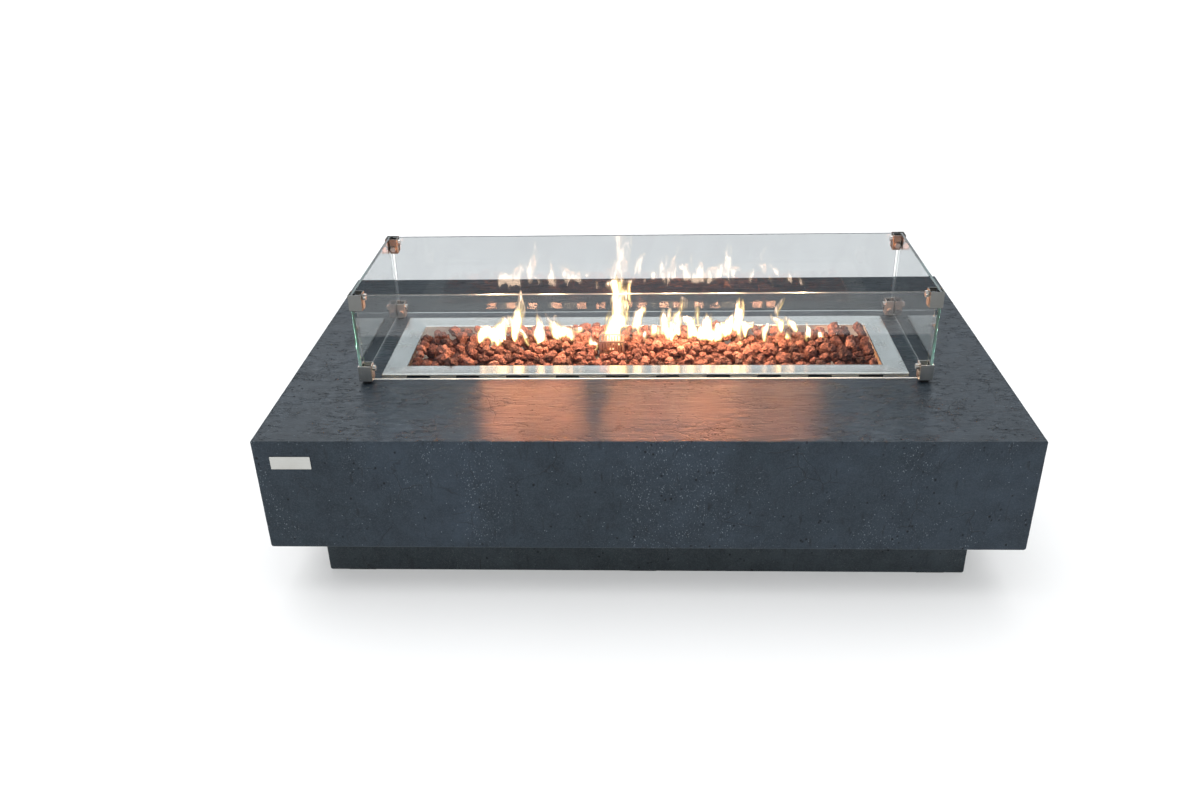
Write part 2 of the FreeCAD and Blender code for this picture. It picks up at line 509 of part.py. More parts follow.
save("control_knob", knob)

# ---------------------------------------------------------------------------
# battery igniter with its push button
# ---------------------------------------------------------------------------
IX0 = 688.0
hous = cyl(IX0, IGN_Y, PANEL_Z, 11, HX + 2 - IX0, (1, 0, 0)).fuse(cyl(HX + 2, IGN_Y, PANEL_Z, 15, 3, (1, 0, 0)))
hous = hous.cut(cyl(IX0 + 2.5, IGN_Y, PANEL_Z, 9.5, HX + 2 - IX0 - 2.5, (1, 0, 0)))
hous = hous.cut(cyl(HX, IGN_Y, PANEL_Z, 8.1, 10, (1, 0, 0)))
hous = hous.fuse(box(IX0 - 8, IX0, IGN_Y - 7, IGN_Y - 6, PANEL_Z - 3, PANEL_Z + 3))
hous = hous.fuse(cyl(IX0 - 8, IGN_Y + 4, PANEL_Z, 3.2, 8, (1, 0, 0))).cut(cyl(IX0 - 9, IGN_Y + 4, PANEL_Z, 1.85, 5, (1, 0, 0)))
save("igniter_housing", hous.removeSplitter())
inut = hexa(HX - 6, IGN_Y, PANEL_Z, 29, 6, (1, 0, 0)).cut(cyl(HX - 7, IGN_Y, PANEL_Z, 11.05, 8, (1, 0, 0)))
save("igniter_nut", inut)
bat = cyl(IX0 + 4, IGN_Y, PANEL_Z, 7.2, 49, (1, 0, 0)).fuse(cyl(IX0 + 53, IGN_Y, PANEL_Z, 2.7, 1.5, (1, 0, 0)))
save("igniter_battery", bat)
BT0 = HX + 2 - 7.0
button = cyl(BT0, IGN_Y, PANEL_Z, 9.45, 7, (1, 0, 0)).fuse(cyl(BT0 + 7, IGN_Y, PANEL_Z, 8.0, 10, (1, 0, 0))).removeSplitter()
button = button.makeFillet(2.0, [e for e in button.Edges if e.BoundBox.XMin > BT0 + 16.9])
save("igniter_button", button)
s0 = IX0 + 55.5
save("igniter_spring", spring(s0 + 0.6, IGN_Y, PANEL_Z, 6.0, 0.9, 2.4, (BT0 - s0 - 1.2) / 2.4))

# ---------------------------------------------------------------------------
# gas inlet under the left overhang, hose on the board, burner connector,
# pilot tube and the two leads
# ---------------------------------------------------------------------------
HOSE_Z, HOSE_R = BOARD_Z1 + 18.0, 5.5
inlet = hexa(INLET_X, INLET_Y, SLAB_Z - 6, 24, 6).fuse(cyl(INLET_X, INLET_Y, SLAB_Z - 20, 7.94, 14))
cone = Part.makeCone(7.9, 5.0, 4, V(INLET_X, INLET_Y, SLAB_Z - 20), V(0, 0, -1))
inlet = inlet.fuse([cone, cyl(INLET_X, INLET_Y, SLAB_Z, 8, BOARD_T + 8)]).cut(cyl(INLET_X, INLET_Y, SLAB_Z - 25, 3.5, 45))
save("gas_inlet", inlet.removeSplitter())
inn = hexa(INLET_X, INLET_Y, BOARD_Z1, 24, 5).cut(cyl(INLET_X, INLET_Y, BOARD_Z1 - 1, 8.05, 8))
save("inlet_nut", inn)
ie = cyl(INLET_X, INLET_Y, BOARD_Z1 + 5, 10, 21).cut(cyl(INLET_X, INLET_Y, BOARD_Z1 + 4, 8.05, 4.2))
ie = ie.fuse(cyl(INLET_X, INLET_Y, HOSE_Z, 7.5, 20, (1, 0, 0))).fuse(hexa(INLET_X + 16, INLET_Y, HOSE_Z, 18, 12, (1, 0, 0)))
ie = ie.cut(cyl(INLET_X + 24, INLET_Y, HOSE_Z, HOSE_R + 0.05, 6, (1, 0, 0)))
save("inlet_elbow", ie.removeSplitter())
hose = tube("gas_hose", [(INLET_X + 24, INLET_Y, HOSE_Z), (600, INLET_Y, HOSE_Z), (690, 210, PANEL_Z), (690, KNOB_Y + 41, PANEL_Z)], HOSE_R)
save("gas_hose", hose)
clips = []
for x in (-560.0, -280.0, 0.0, 280.0, 500.0):
    c = cyl(x - 6, INLET_Y, HOSE_Z, HOSE_R + 1.8, 12, (1, 0, 0))
    c = c.fuse(box(x - 6, x + 6, INLET_Y - HOSE_R - 1.8, INLET_Y - HOSE_R - 0.2, BOARD_Z1, HOSE_Z))
    c = c.fuse(box(x - 6, x + 6, INLET_Y - HOSE_R - 18, INLET_Y - HOSE_R - 0.2, BOARD_Z1, BOARD_Z1 + 1.6))
    c = c.cut(cyl(x - 7, INLET_Y, HOSE_Z, HOSE_R + 0.1, 14, (1, 0, 0)))
    c = c.fuse(cyl(x, INLET_Y - 16, BOARD_Z1 + 1.6, 3.5, 2))
    clips.append(c.removeSplitter())
group("hose_clips", clips)

conn = tube("burner_connector", [(VX0 - 16, KNOB_Y, PANEL_Z), (520, KNOB_Y, PANEL_Z), (330, BURNER_Y, EL_Z), (FEED_X + 46, BURNER_Y, EL_Z)], 7.0)
save("burner_connector", conn)
PT_Z = PANEL_Z + 18
pt = tube("pilot_tube", [(VX0 - 4, KNOB_Y - 17, PT_Z), (400, KNOB_Y - 17, PT_Z), (200, PIL_Y, PT_Z), (PIL_X, PIL_Y, PT_Z), (PIL_X, PIL_Y, PB_Z - 7)],
          3.0, {3: 18.0})
save("pilot_tube", pt)
tl = tube("thermocouple_lead", [(VX0 - 4, KNOB_Y - 17, PANEL_Z - 18), (560, KNOB_Y - 17, PANEL_Z - 18), (400, TC_Y, 252), (TC_X, TC_Y, 252), (TC_X, TC_Y, PB_Z - 11)],
          1.5, {3: 18.0})
save("thermocouple_lead", tl)
il = tube("igniter_lead", [(IX0 - 4, IGN_Y + 4, PANEL_Z), (600, IGN_Y + 4, PANEL_Z), (420, -50, 262), (-10, -50, 262), (EL_X, EL_Y, 262), (EL_X, EL_Y, PB_Z - 9)],
          1.8, {4: 16.0})
save("igniter_lead", il)

# ---------------------------------------------------------------------------
# lava rock fill, as one plain solid: a layer over the burner with a skirt down
# to the pan's floor, hollow below so that it weighs what loose rock weighs
# ---------------------------------------------------------------------------
rock = box(-qx + 2, qx - 2, -qy + 2, qy - 2, PAN_FLOOR_Z + 1, TOP_Z - 2)
rock = rock.cut(box(-490, 490, -90, 90, PAN_FLOOR_Z, BURNER_Z + BURNER_R + 3))
rock = rock.cut(box(GX0 - 2, GX1 + 2, GY0 - 2, GY1 + 2, PAN_FLOOR_Z, TOP_Z))
save("lava_rock_bed", rock)

# ---------------------------------------------------------------------------
# glass wind guard
# ---------------------------------------------------------------------------
gx, gy = GUARD_L / 2, GUARD_W / 2
gz0, gz1 = GLASS_Z0, GLASS_Z0 + GLASS_H


def pane(x0, x1, y0, y1):
    p = box(x0, x1, y0, y1, gz0, gz1)
    return p.makeChamfer(0.6, p.Edges)


lx = gx - GLASS_T - GLASS_GAP
save("glass_front", pane(-lx, lx, -gy, -gy + GLASS_T))
save("glass_back", pane(-lx, lx, gy - GLASS_T, gy))
save("glass_left", pane(-gx, -gx + GLASS_T, -gy, gy))
save("glass_right", pane(gx - GLASS_T, gx, -gy, gy))

# corner bracket, made at the +X +Y corner: an outer angle outside the glass
# and an inner angle closing the square, with slots that the panes pass
LIN = 1.0                             # rubber liner between plate and glass
ox, oy = gx + LIN + BR_T, gy + LIN + BR_T
nx0, ny0 = ox - BR, oy - BR


def bracket(z0, web0, web1):
    z1 = z0 + BR_H
    ring = box(nx0, ox, ny0, oy, z0, z1).cut(box(nx0 + BR_T, ox - BR_T, ny0 + BR_T, oy - BR_T, z0 - 1, z1 + 1))
    slot_z0 = z0 - 1 if web0 > z0 + 0.1 else z0 + BR_T
    ring = ring.cut(box(nx0 - 1, nx0 + BR_T + 1, gy - GLASS_T - 1, oy - BR_T, slot_z0, z1 + 1))
    ring = ring.cut(box(gx - GLASS_T - 1, ox - BR_T, ny0 - 1, ny0 + BR_T + 1, slot_z0, z1 + 1))
    web = box(nx0, ox, ny0, oy, web0, web1)
    return ring, web


SCR_Z = (12.0, 25.0)                  # heights of the two clamp screws above the bracket's foot
SCR_C = 9.5                           # screw axis, from the bracket's inner corner
lower_z = TOP_Z + FOOT_H
upper_z = gz1 + 1.2 - BR_H


def screw_holes(b, z0):
    b = b.cut(cyl(nx0 + SCR_C, ny0 - 2, z0 + SCR_Z[0], 2.55, BR_T + 3, (0, 1, 0)))
    return b.cut(cyl(nx0 - 2, ny0 + SCR_C, z0 + SCR_Z[1], 2.55, BR_T + 3, (1, 0, 0)))


ring, web = bracket(lower_z, lower_z, lower_z + BR_T)
low = screw_holes(ring.fuse(web).removeSplitter(), lower_z)
group("guard_lower_brackets", four(low))
wz = upper_z + 4
ring, web = bracket(upper_z, wz, wz + BR_T)
web = web.cut(box(nx0 - 1, lx + 0.4, gy - GLASS_T - 0.5, gy + LIN, wz - 1, wz + BR_T + 1))
web = web.cut(box(gx - GLASS_T - 0.5, gx + LIN, ny0 - 1, gy + LIN, wz - 1, wz + BR_T + 1))
up = screw_holes(ring.fuse(web).removeSplitter(), upper_z)
group("guard_upper_brackets", four(up))

liners, screws, tips = [], [], []
for z0 in (lower_z, upper_z):
    low_end = z0 + 4 if z0 == lower_z else z0 + 8
    liners += [box(nx0 + 1, lx - 1, gy, gy + LIN, low_end, z0 + BR_H - 3), box(gx, gx + LIN, ny0 + 1, gy - 1, low_end, z0 + BR_H - 3)]
    if z0 == lower_z:
        liners += [box(nx0 + 2.5, lx - 1, gy - GLASS_T, gy, z0 + BR_T, gz0), box(gx - GLASS_T, gx, ny0 + 2.5, gy - 1, z0 + BR_T, gz0)]
    # screw along Y, pressing the long pane, and screw along X, pressing the short pane
    ax, za, zb, ay = nx0 + SCR_C, z0 + SCR_Z[0], z0 + SCR_Z[1], ny0 + SCR_C
    tip = 1.6
    sy = star(ax, ny0 - 0.2, za, 6.5, 6, (0, -1, 0)).fuse(cyl(ax, ny0 - 1, za, 2.5, gy - GLASS_T - tip - ny0 + 1, (0, 1, 0)))
    sx = star(nx0 - 0.2, ay, zb, 6.5, 6, (-1, 0, 0)).fuse(cyl(nx0 - 1, ay, zb, 2.5, gx - GLASS_T - tip - nx0 + 1, (1, 0, 0)))
    screws += [sy, sx]
    tips += [cyl(ax, gy - GLASS_T - tip, za, 4.5, tip, (0, 1, 0)), cyl(gx - GLASS_T - tip, ay, zb, 4.5, tip, (1, 0, 0))]
group("guard_liners", [q for s in liners for q in four(s)])
group("guard_clamp_screws", [q for s in screws for q in four(s)])
group("guard_clamp_pads", [q for s in tips for q in four(s)])
foot = cyl(ox - 13, oy - 13, TOP_Z, 8.5, FOOT_H)
group("guard_feet", four(foot))
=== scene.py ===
import json
import math
import random

import bmesh
import bpy
import numpy as np
from mathutils import Matrix, Vector, noise

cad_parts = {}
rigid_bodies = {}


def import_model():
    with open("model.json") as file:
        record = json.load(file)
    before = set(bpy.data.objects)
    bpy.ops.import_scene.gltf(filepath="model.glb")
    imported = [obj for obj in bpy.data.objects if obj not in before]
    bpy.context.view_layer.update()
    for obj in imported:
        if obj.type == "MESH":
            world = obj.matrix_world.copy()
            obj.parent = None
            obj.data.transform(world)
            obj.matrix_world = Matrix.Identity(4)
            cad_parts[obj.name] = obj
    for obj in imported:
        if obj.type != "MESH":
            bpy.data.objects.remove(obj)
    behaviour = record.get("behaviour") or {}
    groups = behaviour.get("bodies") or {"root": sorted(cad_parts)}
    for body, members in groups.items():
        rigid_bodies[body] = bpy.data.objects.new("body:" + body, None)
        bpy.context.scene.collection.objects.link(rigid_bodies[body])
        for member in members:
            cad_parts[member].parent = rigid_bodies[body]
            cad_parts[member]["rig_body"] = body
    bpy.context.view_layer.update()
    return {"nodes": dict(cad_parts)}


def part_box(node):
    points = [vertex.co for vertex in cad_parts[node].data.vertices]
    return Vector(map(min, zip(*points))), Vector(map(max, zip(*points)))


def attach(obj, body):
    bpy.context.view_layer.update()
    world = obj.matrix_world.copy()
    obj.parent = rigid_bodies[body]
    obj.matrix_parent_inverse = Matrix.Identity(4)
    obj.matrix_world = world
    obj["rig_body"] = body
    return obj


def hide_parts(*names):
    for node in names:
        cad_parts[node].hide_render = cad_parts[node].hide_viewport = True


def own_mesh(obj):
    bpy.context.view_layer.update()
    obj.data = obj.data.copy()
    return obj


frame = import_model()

SCENE = bpy.context.scene
FLAME_POWER, REAR_POWER = 8.0, 11.0
NODES = frame["nodes"]
MM = 0.001

# ---------------------------------------------------------------------------
# camera
# ---------------------------------------------------------------------------


def make_camera():
    yaw, pitch, roll = (math.radians(a) for a in (-2.85042, 27.90680, -1.41519))
    f = Vector((math.sin(yaw) * math.cos(pitch), math.cos(yaw) * math.cos(pitch), -math.sin(pitch)))
    r0 = Vector((math.cos(yaw), -math.sin(yaw), 0))
    u0 = r0.cross(f)
    r = r0 * math.cos(roll) + u0 * math.sin(roll)
    u = -r0 * math.sin(roll) + u0 * math.cos(roll)
    data = bpy.data.cameras.new("camera")
    data.sensor_width = 36
    data.lens = 30.917
    data.clip_start, data.clip_end = 0.05, 100
    cam = bpy.data.objects.new("camera", data)
    SCENE.collection.objects.link(cam)
    cam.matrix_world = Matrix(((r.x, u.x, -f.x, 0.0057344), (r.y, u.y, -f.y, -2.1308541),
                               (r.z, u.z, -f.z, 1.3633765), (0, 0, 0, 1)))
    SCENE.camera = cam


make_camera()

# ---------------------------------------------------------------------------
# materials
# ---------------------------------------------------------------------------


class Mat:
    """A small helper round one node tree."""

    def __init__(self, name):
        self.m = bpy.data.materials.new(name)
        self.m.use_nodes = True
        self.nt = self.m.node_tree
        self.nt.nodes.clear()
        self.out = self.nt.nodes.new("ShaderNodeOutputMaterial")
        self._obj = None

    def add(self, kind, **settings):
        n = self.nt.nodes.new("ShaderNode" + kind)
        for k, v in settings.items():
            setattr(n, k, v)
        return n

    def put(self, socket, value):
        if isinstance(value, bpy.types.NodeSocket):
            self.nt.links.new(value, socket)
        elif isinstance(value, (tuple, list)) and len(value) == 3 and len(socket.default_value) == 4:
            socket.default_value = (*value, 1)
        else:
            socket.default_value = value

    def coords(self, scale=(1, 1, 1), turn=(0, 0, 0)):
        if self._obj is None:
            self._obj = self.add("TexCoord").outputs["Object"]
        if scale == (1, 1, 1) and turn == (0, 0, 0):
            return self._obj
        n = self.add("Mapping")
        self.put(n.inputs["Vector"], self._obj)
        n.inputs["Scale"].default_value = scale
        n.inputs["Rotation"].default_value = turn
        return n.outputs[0]

    def noise(self, vec, scale, detail=3.0, rough=0.5, warp=0.0):
        n = self.add("TexNoise")
        self.put(n.inputs["Vector"], vec)
        n.inputs["Scale"].default_value = scale
        n.inputs["Detail"].default_value = detail
        n.inputs["Roughness"].default_value = rough
        n.inputs["Distortion"].default_value = warp
        return n.outputs[0]

    def voronoi(self, vec, scale, feature="F1", out="Distance", rand=1.0):
        n = self.add("TexVoronoi", feature=feature)
        self.put(n.inputs["Vector"], vec)
        n.inputs["Scale"].default_value = scale
        n.inputs["Randomness"].default_value = rand
        return n.outputs[out]

    def math(self, op, a, b=0.5, c=0.5, clamp=False):
        n = self.add("Math", operation=op, use_clamp=clamp)
        for s, v in zip(n.inputs, (a, b, c)):
            self.put(s, v)
        return n.outputs[0]

    def span(self, x, lo, hi, to_lo=0.0, to_hi=1.0, smooth=False):
        n = self.add("MapRange", clamp=True, interpolation_type="SMOOTHSTEP" if smooth else "LINEAR")
        for k, v in (("Value", x), ("From Min", lo), ("From Max", hi), ("To Min", to_lo), ("To Max", to_hi)):
            self.put(n.inputs[k], v)
        return n.outputs[0]

    def ramp(self, fac, stops):
        n = self.add("ValToRGB")
        self.put(n.inputs[0], fac)
        e = n.color_ramp.elements
        while len(e) < len(stops):
            e.new(0.5)
        for el, (p, c) in zip(e, stops):
            el.position, el.color = p, (*c, 1)
        return n.outputs[0]

    def mix(self, fac, a, b, blend="MIX"):
        n = self.add("Mix", data_type="RGBA", blend_type=blend)
        self.put(n.inputs[0], fac)
        self.put(n.inputs[6], a)
        self.put(n.inputs[7], b)
        return n.outputs[2]

    def bump(self, height, distance, strength=1.0, normal=None):
        n = self.add("Bump")
        self.put(n.inputs["Height"], height)
        n.inputs["Distance"].default_value = distance
        n.inputs["Strength"].default_value = strength
        if normal is not None:
            self.put(n.inputs["Normal"], normal)
        return n.outputs[0]

    def attr(self, name):
        return self.add("Attribute", attribute_name=name).outputs["Fac"]

    def principled(self, color, rough, metal=0.0, normal=None, **more):
        n = self.add("BsdfPrincipled")
        self.put(n.inputs["Base Color"], color)
        self.put(n.inputs["Roughness"], rough)
        self.put(n.inputs["Metallic"], metal)
        if normal is not None:
            self.put(n.inputs["Normal"], normal)
        for k, v in more.items():
            self.put(n.inputs[k.replace("_", " ")], v)
        self.nt.links.new(n.outputs[0], self.out.inputs["Surface"])
        return n


def concrete(name, dark=1.0, gloss=0.40, pits=1.0, waves=1.0, lime=0.72, aniso=0.0, tint=(1, 1, 1)):
    """Slate blue-grey cast concrete: cloudy tone, sandy grain, lime specks in drifts, small pits with painted shade,
    fine cracks; the faces that look up get a painted lighter tone and a worn film with painted sheen.
    """
    m = Mat(name)
    p = m.coords()
    up = m.add("SeparateXYZ")
    m.put(up.inputs[0], m.add("NewGeometry").outputs["Normal"])
    top = m.span(up.outputs["Z"], 0.6, 0.9)
    cloud = m.noise(p, 4.2, 5, 0.62, 0.5)
    mottle = m.noise(p, 24, 4, 0.6)
    grain = m.noise(p, 420, 3, 0.6)
    tall = m.coords((1, 1, 0.22))
    streak = m.noise(tall, 95, 3, 0.55, 0.3)
    base = m.ramp(cloud, [(0.28, (0.016 * dark, 0.032 * dark, 0.046 * dark)), (0.50, (0.026 * dark, 0.045 * dark, 0.065 * dark)),
                          (0.74, (0.040 * dark, 0.066 * dark, 0.098 * dark))])
    base = m.mix(m.span(mottle, 0.35, 0.70), m.mix(1.0, base, (0.74, 0.78, 0.80), "MULTIPLY"), m.mix(1.0, base, (1.24, 1.22, 1.20), "MULTIPLY"))
    base = m.mix(m.span(grain, 0.40, 0.75, 0.0, 0.55), base, (0.075 * dark, 0.103 * dark, 0.140 * dark))
    marks = m.span(streak, 0.62, 0.74, 0.0, 0.75)
    base = m.mix(marks, base, (0.014 * dark, 0.022 * dark, 0.030 * dark))
    # worn lighter film and painted bluish sheen, in drifts on the faces that look up
    film = m.noise(m.coords((0.55, 1, 1)), 62, 5, 0.68, 0.5)
    film_sheen_on = m.math("MULTIPLY", m.span(m.noise(p, 3.2, 3, 0.6, 0.3), 0.46, 0.64), top)
    base = m.mix(m.math("MULTIPLY", m.span(film, 0.50, 0.74, 0.0, 0.60), film_sheen_on), base, (0.105, 0.128, 0.155))
    # lime specks: single dots everywhere, drifts of dots and short strokes that hang down the sides
    drift = m.span(m.noise(m.coords((1, 1, 0.42)), 8.5, 4, 0.62, 0.6), 0.48, 0.60)
    dots = m.math("MULTIPLY", m.span(m.voronoi(m.coords((1, 1, 0.7)), 210), 0.12, 0.28, 1.0, 0.0), m.span(m.noise(p, 95, 2, 0.5), 0.50, 0.58))
    dust = m.math("MULTIPLY", m.span(m.voronoi(m.coords((1, 1, 0.45)), 320), 0.12, 0.28, 1.0, 0.0), m.span(m.noise(p, 160, 2, 0.5), 0.46, 0.56))
    stroke = m.span(m.noise(m.coords((1, 1, 0.10)), 330, 2, 0.5), 0.70, 0.78)
    speck = m.math("MULTIPLY", m.math("MAXIMUM", m.math("MAXIMUM", dots, m.math("MULTIPLY", dust, 0.75)), m.math("MULTIPLY", stroke, 0.55)), m.math("MULTIPLY_ADD", drift, 0.70, 0.03))
    far_dot = m.math("MULTIPLY", m.span(m.voronoi(p, 62), 0.050, 0.085, 1.0, 0.0), 0.55)
    speck = m.math("MAXIMUM", speck, far_dot)
    base = m.mix(m.math("MULTIPLY", speck, lime), base, (0.25, 0.31, 0.36))
    # air pits, painted near black with the shade that falls in them
    pit_d = m.voronoi(m.coords((1, 1, 0.8)), 72)
    pit_on = m.span(m.noise(p, 31, 2, 0.5), 0.54, 0.60)
    pit = m.math("MULTIPLY", m.span(pit_d, 0.11, 0.22, 1.0, 0.0), pit_on)
    base = m.mix(m.math("MULTIPLY", pit, 0.85), base, (0.008 * dark, 0.012 * dark, 0.017 * dark))
    # hairline cracks, and thin trowel tears along the top
    warp = m.add("VectorMath", operation="ADD")
    wn = m.add("TexNoise")
    m.put(wn.inputs["Vector"], p)
    wn.inputs["Scale"].default_value = 22
    wn.inputs["Detail"].default_value = 3
    sc = m.add("VectorMath", operation="SCALE")
    m.put(sc.inputs[0], wn.outputs["Color"])
    sc.inputs["Scale"].default_value = 0.035
    m.put(warp.inputs[0], p)
    m.put(warp.inputs[1], sc.outputs[0])
    edge = m.voronoi(warp.outputs[0], 13, "DISTANCE_TO_EDGE")
    crack_on = m.span(m.noise(p, 9, 3, 0.5), 0.50, 0.62)
    crack = m.math("MULTIPLY", m.span(edge, 0.004, 0.018, 1.0, 0.0), crack_on)
    tear_n = m.noise(m.coords((0.26, 1, 1)), 82, 4, 0.6, 0.9)
    tear = m.span(m.math("ABSOLUTE", m.math("SUBTRACT", tear_n, 0.5)), 0.003, 0.013, 1.0, 0.0)
    tear = m.math("MULTIPLY", m.math("MULTIPLY", tear, m.span(m.noise(p, 17, 3, 0.55), 0.52, 0.60)), top)
    crack = m.math("MAXIMUM", crack, tear)
    base = m.mix(m.math("MULTIPLY", crack, 0.48), base, (0.009 * dark, 0.013 * dark, 0.018 * dark))
    base = m.mix(1.0, base, tint, "MULTIPLY")
    # painted light: the faces that look up are made lighter than the sides, for the light that falls on them from above
    base = m.mix(top, m.mix(1.0, base, (1.46, 1.36, 1.32), "MULTIPLY"), base)
    # relief
    flat = m.span(up.outputs["Z"], 0.6, 0.9, 0.30, waves)
    wave = m.noise(m.coords((0.20, 1, 0.8)), 62, 4, 0.55, 0.6)
    h = m.math("MULTIPLY", wave, flat)
    h = m.math("MULTIPLY_ADD", grain, 0.07, h)
    h = m.math("MULTIPLY_ADD", pit, -0.75 * pits, h)
    h = m.math("MULTIPLY_ADD", marks, -0.35, h)
    h = m.math("MULTIPLY_ADD", crack, -0.45, h)
    # short dents along the trowel's way, on the faces that look up
    dent = m.span(m.noise(m.coords((0.36, 1, 1)), 120, 3, 0.55, 0.4), 0.58, 0.66)
    dent = m.math("MULTIPLY", m.math("MULTIPLY", dent, m.span(m.noise(p, 11, 2, 0.5), 0.44, 0.58)), top)
    h = m.math("MULTIPLY_ADD", dent, -2.2, h)
    nrm = m.bump(h, 0.0012, 1.0)
    rough = m.math("MULTIPLY_ADD", m.noise(p, 34, 3, 0.6), 0.12, gloss - 0.06)
    rough = m.math("MULTIPLY_ADD", m.math("SUBTRACT", 1.0, top), 0.22, rough)
    rough = m.math("MULTIPLY_ADD", pit, 0.3, rough, clamp=True)
    b = m.principled(base, rough, 0.0, nrm, Specular_IOR_Level=0.36, Anisotropic=aniso)
    if aniso:             # trowelled along its length, so reflections spread across it
        t = m.add("CombineXYZ")
        t.inputs["Y"].default_value = 0.80
        t.inputs["Z"].default_value = 0.60
        m.put(b.inputs["Tangent"], t.outputs[0])
    return m.m


def brushed(name, along, tone=(0.60, 0.60, 0.58), rough=0.30, scale=1.0, heat=0.0, stains=0.25, aniso=0.35):
    """Brushed steel: fine scratches along one axis, soft handling marks, optional heat colours."""
    m = Mat(name)
    stretch = {"x": (14, 1500, 1500), "y": (1500, 14, 1500), "z": (1500, 1500, 14)}[along]
    hair = m.noise(m.coords(tuple(s * scale for s in stretch)), 1.0, 3, 0.65)
    band = m.noise(m.coords(tuple(s * 0.12 * scale for s in stretch)), 1.0, 2, 0.5)
    cloud = m.noise(m.coords(), 14, 4, 0.6, 0.3)
    base = m.mix(m.span(hair, 0.3, 0.7), tuple(c * 0.93 for c in tone), tuple(min(1, c * 1.05) for c in tone))
    base = m.mix(m.span(band, 0.35, 0.65, 0.0, 0.25), base, tuple(c * 0.88 for c in tone))
    base = m.mix(m.span(cloud, 0.52, 0.75, 0.0, stains), base, (tone[0] * 0.72, tone[1] * 0.66, tone[2] * 0.58))
    if heat:
        hz = m.noise(m.coords(), 32, 3, 0.6, 0.6)
        tint = m.ramp(hz, [(0.35, (0.55, 0.50, 0.44)), (0.50, (0.50, 0.36, 0.20)), (0.60, (0.36, 0.25, 0.30)), (0.70, (0.28, 0.32, 0.42))])
        base = m.mix(heat, base, tint)
    r = m.math("MULTIPLY_ADD", hair, 0.10, rough - 0.05)
    r = m.math("MULTIPLY_ADD", m.span(cloud, 0.50, 0.75), 0.08, r, clamp=True)
    h = m.math("MULTIPLY_ADD", band, 0.5, hair)
    b = m.principled(base, r, 1.0, m.bump(h, 0.00002, 0.6), Anisotropic=aniso)
    if aniso > 0.5:       # the highlight spreads across the scratches
        b.inputs["Tangent"].default_value = (0, 0, 0)
        t = m.add("CombineXYZ")
        t.inputs["Y" if along == "x" else "X"].default_value = 1.0
        m.put(b.inputs["Tangent"], t.outputs[0])
    return m.m


def plated(name, tone, rough=0.35, spot=(0.75, 0.62, 0.45), much=0.3, scale=60):
    """Plated or cast metal with blotches and a little grain."""
    m = Mat(name)
    a = m.noise(m.coords(), scale, 4, 0.6, 0.3)
    g = m.noise(m.coords(), scale * 14, 2, 0.6)
    base = m.mix(m.span(a, 0.40, 0.72, 0.0, much), tone, tuple(t * s for t, s in zip(tone, spot)))
    base = m.mix(m.span(g, 0.45, 0.80, 0.0, 0.30), base, tuple(c * 0.7 for c in tone))
    r = m.math("MULTIPLY_ADD", a, 0.22, rough - 0.11, clamp=True)
    m.principled(base, r, 1.0, m.bump(g, 0.00010, 0.5))
    return m.m


def moulded(name, tone, rough=0.5, grain=1400, lift=1.5, dust=0.12, depth=0.00006):
    """Moulded plastic or rubber: fine texture, faint scuffs and dust."""
    m = Mat(name)
    g = m.noise(m.coords(), grain, 2, 0.6)
    c = m.noise(m.coords(), 40, 4, 0.6, 0.4)
    scuff = m.noise(m.coords((1, 1, 0.15)), 260, 3, 0.6, 0.4)
    base = m.mix(m.span(c, 0.4, 0.7), tone, tuple(min(1, t * lift) for t in tone))
    base = m.mix(m.span(scuff, 0.60, 0.76, 0.0, 0.5), base, tuple(min(1, t * 2.2 + 0.02) for t in tone))
    base = m.mix(m.span(m.noise(m.coords(), 180, 4, 0.7), 0.5, 0.8, 0.0, dust), base, (0.35, 0.34, 0.32))
    r = m.math("MULTIPLY_ADD", g, 0.2, rough - 0.1)
    r = m.math("MULTIPLY_ADD", c, 0.15, r, clamp=True)
    m.principled(base, r, 0.0, m.bump(g, depth, 0.6))
    return m.m


def board_mat():
    """Fibre-cement board: pale grey, fibres and saw dust."""
    m = Mat("fibre_board")
    f = m.noise(m.coords((1, 8, 8)), 55, 4, 0.6, 0.5)
    c = m.noise(m.coords(), 8, 4, 0.6)
    base = m.ramp(c, [(0.3, (0.25, 0.25, 0.24)), (0.7, (0.36, 0.355, 0.34))])
    base = m.mix(m.span(f, 0.55, 0.70, 0.0, 0.4), base, (0.45, 0.44, 0.41))
    m.principled(base, m.math("MULTIPLY_ADD", f, 0.15, 0.75), 0.0, m.bump(f, 0.0003, 0.7))
    return m.m


